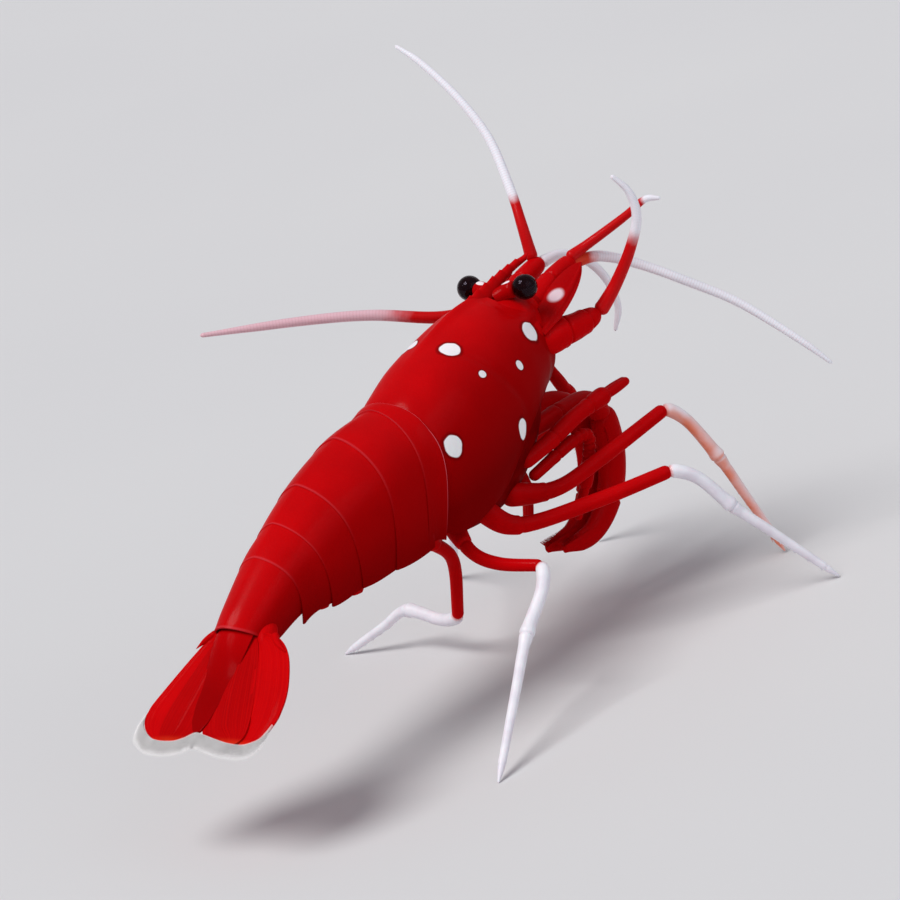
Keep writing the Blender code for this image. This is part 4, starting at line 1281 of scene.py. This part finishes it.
class MESH_OT_shrimp_antennae(bpy.types.Operator):
    """Adds the lower pair of feelers, with the leaf-shaped scale at each root"""
    bl_idname = "mesh.shrimp_antennae"
    bl_label = "Antennae"

    def execute(self, context):
        red, white = colours().red, colours().white
        schemes = {"right": (0.55, red, white), "left": (0.42, red, (0.78, 0.50, 0.56))}
        for name, side in SIDES:
            base = limb(f"antenna_stem_{name}", body_line(ANTENNA_BASE, 64, side),
                        ((0.0, 0.82), (0.28, 1.04), (0.50, 0.90), (0.75, 0.76), (1.0, 0.52)), 30,
                        joints=(0.46, 0.80))
            dress(base, painted("shell_red", red_shell, 1.0), "shell", f"antenna_{name}_base")
            whip = limb(f"antenna_whip_{name}", body_line(ANTENNA_WHIPS[name], 150),
                        ((0.0, 0.50), (0.06, 0.46), (0.2, 0.40), (0.5, 0.34), (0.8, 0.27),
                         (1.0, 0.14)), 16)
            material = painted(f"antenna_paint_{name}", feeler_paint, *schemes[name], 0.06)
            dress(whip, material, "white_shell", f"antenna_{name}")
            scale = drape_shell(f"scale_leaf_{name}", 24, 36, self.scale_surface(side),
                                stand(to_side((10.5, 1.0, 1.0), side)), 0.18 * MM, offset=0.0)
            dress(scale, painted("scale_red", self.scale_finish), "shell", f"antenna_scale_{name}")
        return {"FINISHED"}

    def scale_surface(self, side):
        root, tip = Vector((7.3, 2.35, 2.0)), Vector((12.5, 2.75, 3.75))
        outward = Vector((0.0, 0.86, -0.51))
        lift = (tip - root).cross(outward).normalized()

        def surface(around, share):
            across = 2 * around - 1
            width = 0.86 * min(1.0, 0.72 + share) * (1 - clamp((share - 0.35) / 0.65) ** 2.4) ** 0.7
            width = max(width, 0.02)
            crown = 0.22 * (1 - across ** 2) * math.sin(math.pi * share)
            crown += 0.09 * hump(across, 0.55, 0.12)
            point = root.lerp(tip, share) + outward * across * width + lift * (crown - 0.1)
            return stand(to_side(point, side))

        return surface

    def scale_finish(self, paint):
        red = mottled_red(paint, 0.75)
        place = centred_place(paint, True)
        mark = spot_distance(paint, place, (9.70, 3.0, 3.48), (0.52, 0.40), 2).below(1.0, 0.26)
        shell_finish(paint, paint.mix(mark * 0.9, red, (0.84, 0.72, 0.76)))


class MESH_OT_shrimp_mouth_legs(bpy.types.Operator):
    """Adds the long mouth legs that hang in front of the chest, with their brushes"""
    bl_idname = "mesh.shrimp_mouth_legs"
    bl_label = "Mouth legs"

    def execute(self, context):
        material = painted("limb_red", red_shell, 0.85)
        for name, side in SIDES:
            line = body_line(MOUTH_LEG, 121, side)
            square = stand((0, 1, 0)) - stand((0, 0, 0))
            upper = limb(f"mouth_leg_top_{name}", line[:55],
                         ((0.0, 0.50), (0.3, 0.60), (0.8, 0.68), (1.0, 0.66)), 24,
                         joints=(0.35,), across=square)
            lower = limb(f"mouth_leg_end_{name}", line[50:],
                         ((0.0, 0.62), (0.10, 0.72), (0.45, 0.68), (0.85, 0.42), (1.0, 0.18)), 24,
                         joints=(0.50,), across=square, flatten=1.5)
            for piece, part in ((upper, "upper"), (lower, "lower")):
                dress(piece, material, "shell", f"mouth_leg_{name}_{part}")
            brush = strand_mesh(f"mouth_brush_{name}", self.brush_strands(line[50:], side))
            dress(brush, material, "shell", angle=None)
        return {"FINISHED"}

    def brush_strands(self, line, side):
        """Rows of stiff hairs along the inner bend of the limb's end."""
        strands = []
        count = len(line)
        for row in range(5):
            for i in range(240):
                share = (i + 0.5 * (row % 2)) / 240
                place = share * (count - 2)
                low = int(place)
                root = line[low].lerp(line[low + 1], place - low)
                along = (line[low + 1] - line[low]).normalized()
                left = Vector((0, side, 0))
                inward = left.cross(along).normalized() * (1 if side > 0 else -1)
                spread = (row - 2) * 0.34 + 0.2 * wave((i * 0.7, row, side), 1.0)
                forward = 0.75 + 0.3 * wave((i * 0.4, row, 2), 1.0)
                direction = inward + left * spread + along * forward
                length = (0.95 + 0.25 * wave((i * 0.9, row, 5), 1.0)) * (1 - 0.7 * share)
                tip = root + direction.normalized() * (length + 0.35) * MM
                width = along.cross(direction).normalized() * 0.026 * MM
                strands.append((root, tip, width, (0.02 + 0.9 * share, 0.02 + 0.1 * row)))
        return strands


class MESH_OT_shrimp_claw_legs(bpy.types.Operator):
    """Adds the two pairs of slim legs that end in small claws"""
    bl_idname = "mesh.shrimp_claw_legs"
    bl_label = "Claw legs"

    def execute(self, context):
        material = painted("limb_red", red_shell, 0.85)
        for name, points in CLAW_LEGS.items():
            stout = 1.0 if name.startswith("claw_leg_1") else 0.78
            line = body_line(points, 150)
            palm_end = 122
            table = ((0.0, 0.46), (0.25, 0.50), (0.50, 0.52), (0.75, 0.50), (0.92, 0.58),
                     (1.0, 0.46))
            joints = (0.36, 0.78) if name.startswith("claw_leg_1") else WRIST_RINGS
            leg = limb(f"{name}_shape", line[:palm_end],
                       [(share, radius * stout) for share, radius in table], 22, joints=joints)
            claw = fingers(line[palm_end - 8::4], 0.13 * stout, 0.31 * stout)
            leg = join([leg, *claw], f"{name}_shape")
            dress(leg, material, "shell", name)
        return {"FINISHED"}


class MESH_OT_shrimp_walking_legs(bpy.types.Operator):
    """Adds the three pairs of walking legs, red to the knee and white below it"""
    bl_idname = "mesh.shrimp_walking_legs"
    bl_label = "Walking legs"

    def execute(self, context):
        # The second colour of each shin is painted as shade under the limb; on the pink shin it is
        # also the shin's own blush.
        white = painted("shin_white", self.shin_finish, colours().white, (0.60, 0.52, 0.60), 0.25)
        pink = painted("shin_pink", self.shin_finish, (0.90, 0.85, 0.90), colours().blush, 0.75)
        for name, (hip, thigh, knee, ankle, foot) in WALKING_LEGS.items():
            knee, ankle, foot = Vector(knee), Vector(ankle), Vector(foot)
            arriving = (knee - Vector(thigh[-1])).normalized()
            bow = (arriving - (ankle - knee).normalized()).normalized() * SHIN_BOW
            wrist = knee.lerp(ankle, 0.45) + bow
            points = [stand(hip), *[standing(point) for point in thigh], standing(knee)]
            slender = HIND_SHARE if name.startswith("leg_5") else 1.0
            upper = limb(f"{name}_thigh", smooth_line(points, 90),
                         [(share, radius * slender) for share, radius in THIGH_RADII], 20,
                         joints=(0.24,))
            dress(upper, painted("leg_red", red_shell, 0.95), "shell", f"{name}_upper")
            down = (foot - ankle).normalized()
            tip = foot - down * 0.10
            shin = [standing(point) for point in
                    (knee - arriving * 0.30, knee.lerp(wrist, 0.25) + bow * 0.15, wrist, ankle,
                     ankle.lerp(foot, 0.35), ankle.lerp(foot, 0.7), tip)]
            line = smooth_line(shin, 160)
            near, far = (ankle - knee).length, (foot - ankle).length
            ankle_share = near / (near + far)
            lower = limb(f"{name}_shin", line, self.shin_radii(ankle_share), 20,
                         joints=(ankle_share + 0.01, 0.92))
            lower = join([lower, *self.shin_spines(line, ankle_share)], f"{name}_shin")
            dress(lower, pink if name == "leg_3_right" else white, "white_shell", f"{name}_lower")
        return {"FINISHED"}

    def shin_radii(self, ankle):
        """Thicker at the knee, with a small knuckle at the ankle and a fine claw at the end."""
        return ((0.0, 0.38), (0.04, 0.425), (ankle * 0.5, 0.39), (ankle - 0.05, 0.41),
                (ankle, 0.45), (ankle + 0.06, 0.34), (0.86, 0.26), (0.93, 0.22), (1.0, 0.07))

    def shin_spines(self, line, ankle):
        """Small spines under the last long joint, pointing to the foot."""
        spines = []
        for step in range(6):
            share = ankle + (0.90 - ankle) * (0.25 + 0.15 * step)
            place = int(share * (len(line) - 1))
            along = (line[place + 1] - line[place]).normalized()
            under = (Vector((0, 0, -1)) + along * along.z).normalized()
            root = line[place] + under * 0.20 * MM
            spines.append(thorn(root, root + (along * 0.30 + under * 0.16) * MM, 0.05))
        return spines

    def shin_finish(self, paint, first, second, underneath):
        """White above and a second colour under the limb and in faint patches. On the white shins
        the grey-violet underneath is painted shade and in the patches the shin's own tone; on the
        pink shin the blush underneath is partly its own colour and partly painted shade.
        """
        _, along = paint.own()
        place = paint.place()
        patches = paint.noise(place, 0.8, 3.0)
        knee = along.below(0.025, 0.012)
        # Painted shade: surfaces that face down take the second colour.
        share = patches.above(0.55, 0.15) * 0.25 + paint.facing("Z").below(0.15, 0.5) * underneath
        colour = paint.mix(share.maths("MINIMUM", share, 1.0), first, second)
        colour = paint.mix(knee * 0.8, colour, (0.80, 0.10, 0.06))
        fine = paint.noise(place, 9.0, 2.0)
        paint.give(Base_Color=colour, Roughness=0.34 + 0.14 * fine, Subsurface_Weight=0.25,
                   Subsurface_Radius=(0.8, 0.55, 0.6), Subsurface_Scale=0.3 * MM,
                   Coat_Weight=0.15)
        paint.bump(fine, 0.2, 0.02)


class MESH_OT_shrimp_swimmerets(bpy.types.Operator):
    """Adds the five pairs of paddles under the abdomen"""
    bl_idname = "mesh.shrimp_swimmerets"
    bl_label = "Swimmerets"

    def execute(self, context):
        material = painted("limb_red", red_shell, 0.85)
        for number in range(1, 6):
            low, high = SOMITE_JOINTS[number - 1], SOMITE_JOINTS[number]
            back = Vector(low[0]).lerp(Vector(high[0]), 0.55)
            belly = Vector(low[1]).lerp(Vector(high[1]), 0.55)
            upwards = back - belly
            root = belly + upwards.normalized() * (0.16 * upwards.length - 0.45)
            half_width = (low[2] + high[2]) / 2
            size = half_width / SOMITE_JOINTS[0][2] * PADDLE_SIZES[number - 1]
            for name, side in SIDES:
                start = Vector((root.x, 0.36 * half_width, root.y))
                end = start + Vector((2.2, 0.12, -1.4)) * size
                start += (start - end) * 0.15
                line = body_line([start.lerp(end, share) for share in (0.0, 0.5, 1.0)], 34, side)
                paddle = limb(f"paddle_{number}_{name}", line,
                              ((0.0, 0.30 * size), (0.2, 0.42 * size), (0.55, 0.72 * size),
                               (0.85, 0.5 * size), (1.0, 0.12)), 20, flatten=0.42)
                dress(paddle, material, "shell", f"swimmeret_{number}_{name}")
        return {"FINISHED"}


class OBJECT_OT_shrimp_stage(bpy.types.Operator):
    """Adds the pale floor, the soft lights and the camera"""
    bl_idname = "object.shrimp_stage"
    bl_label = "Stage"

    def execute(self, context):
        start_fresh()
        bpy.ops.mesh.primitive_plane_add(size=3.0, location=(0, 0, 0))
        floor = context.object
        floor.name = "floor"
        paint = Paint("floor_pale")
        fine = paint.noise(paint.place(), 0.02, 2.0)
        pale = paint.mix(fine, (0.70, 0.70, 0.71), (0.74, 0.74, 0.74))
        paint.give(Base_Color=pale, Roughness=0.7)
        floor.data.materials.append(paint.material)
        world = context.scene.world or bpy.data.worlds.new("studio")
        context.scene.world = world
        world.use_nodes = True
        background = world.node_tree.nodes["Background"].inputs
        background["Color"].default_value = (0.9, 0.92, 1.0, 1.0)
        background["Strength"].default_value = 0.34
        self.place_camera(context)
        self.add_sun("key", (-0.9, 1.9, 0.5), 2.1, 32.0, (1.0, 0.98, 0.97))
        self.add_sun("fill", (1.2, 0.7, 1.3), 0.45, 60.0, (0.95, 0.96, 1.0))
        context.scene.view_settings.view_transform = "Standard"
        return {"FINISHED"}

    def view_axes(self):
        """Directions right, up and back of the camera, which is tilted with the animal."""
        azimuth, elevation, roll = (math.radians(angle) for angle in CAMERA_ANGLES)
        back = Vector((math.sin(azimuth) * math.cos(elevation),
                       -math.cos(azimuth) * math.cos(elevation), math.sin(elevation)))
        level = Vector((math.cos(azimuth), math.sin(azimuth), 0.0))
        rise = back.cross(level)
        right = level * math.cos(roll) - rise * math.sin(roll)
        up = level * math.sin(roll) + rise * math.cos(roll)
        return right, up, back

    def place_camera(self, context):
        right, up, back = self.view_axes()
        target = Vector((0, 0, BODY_HEIGHT)) - up * CAMERA_DROP + ORIGIN_SHIFT
        eye = (target + back * CAMERA_DISTANCE) * MM
        start_fresh()
        bpy.ops.object.camera_add(location=eye)
        camera = context.object
        camera.data.lens = CAMERA_LENS
        camera.data.sensor_width = 36.0
        camera.data.clip_start = 0.01
        rows = [(right[axis], up[axis], back[axis], eye[axis]) for axis in range(3)]
        camera.matrix_world = Matrix((*rows, (0, 0, 0, 1)))
        context.scene.camera = camera

    def add_sun(self, name, direction, strength, spread, colour):
        """A soft sun, placed by the camera's right, the world's up and towards the camera."""
        _, _, back = self.view_axes()
        level = Vector((back.x, back.y, 0)).normalized()
        flat_right = Vector((-level.y, level.x, 0))
        where = flat_right * direction[0] + Vector((0, 0, 1)) * direction[1] + level * direction[2]
        start_fresh()
        bpy.ops.object.light_add(type="SUN", location=where.normalized() * 0.3)
        light = bpy.context.object
        light.name = name
        light.data.energy = strength
        light.data.angle = math.radians(spread)
        light.data.color = colour
        light.rotation_euler = (-where).to_track_quat("-Z", "Y").to_euler()


class VIEW3D_PT_shrimp(bpy.types.Panel):
    """Lists the sizes, the colours and the pieces"""
    bl_label = "Fire shrimp"
    bl_idname = "VIEW3D_PT_shrimp"
    bl_space_type = "VIEW_3D"
    bl_region_type = "UI"
    bl_category = "Shrimp"

    def draw(self, context):
        column = self.layout.column()
        for group in (context.scene.shrimp_sizes, context.scene.shrimp_colours):
            for key in group.__annotations__:
                column.prop(group, key)
        for operator in OPERATORS:
            column.operator(operator.bl_idname)


OPERATORS = (
    MESH_OT_shrimp_carapace,
    MESH_OT_shrimp_underside,
    MESH_OT_shrimp_abdomen,
    MESH_OT_shrimp_tail_fan,
    MESH_OT_shrimp_eyes,
    MESH_OT_shrimp_antennules,
    MESH_OT_shrimp_antennae,
    MESH_OT_shrimp_mouth_legs,
    MESH_OT_shrimp_claw_legs,
    MESH_OT_shrimp_walking_legs,
    MESH_OT_shrimp_swimmerets,
    OBJECT_OT_shrimp_stage,
)
CLASSES = (ShrimpSizes, ShrimpColours, *OPERATORS, VIEW3D_PT_shrimp)


def register():
    for item in CLASSES:
        bpy.utils.register_class(item)
    bpy.types.Scene.shrimp_sizes = bpy.props.PointerProperty(type=ShrimpSizes)
    bpy.types.Scene.shrimp_colours = bpy.props.PointerProperty(type=ShrimpColours)


def unregister():
    del bpy.types.Scene.shrimp_colours
    del bpy.types.Scene.shrimp_sizes
    for item in reversed(CLASSES):
        bpy.utils.unregister_class(item)


def main():
    register()
    for operator in OPERATORS:
        family, action = operator.bl_idname.split(".")
        getattr(getattr(bpy.ops, family), action)()


if __name__ == "__main__":
    main()
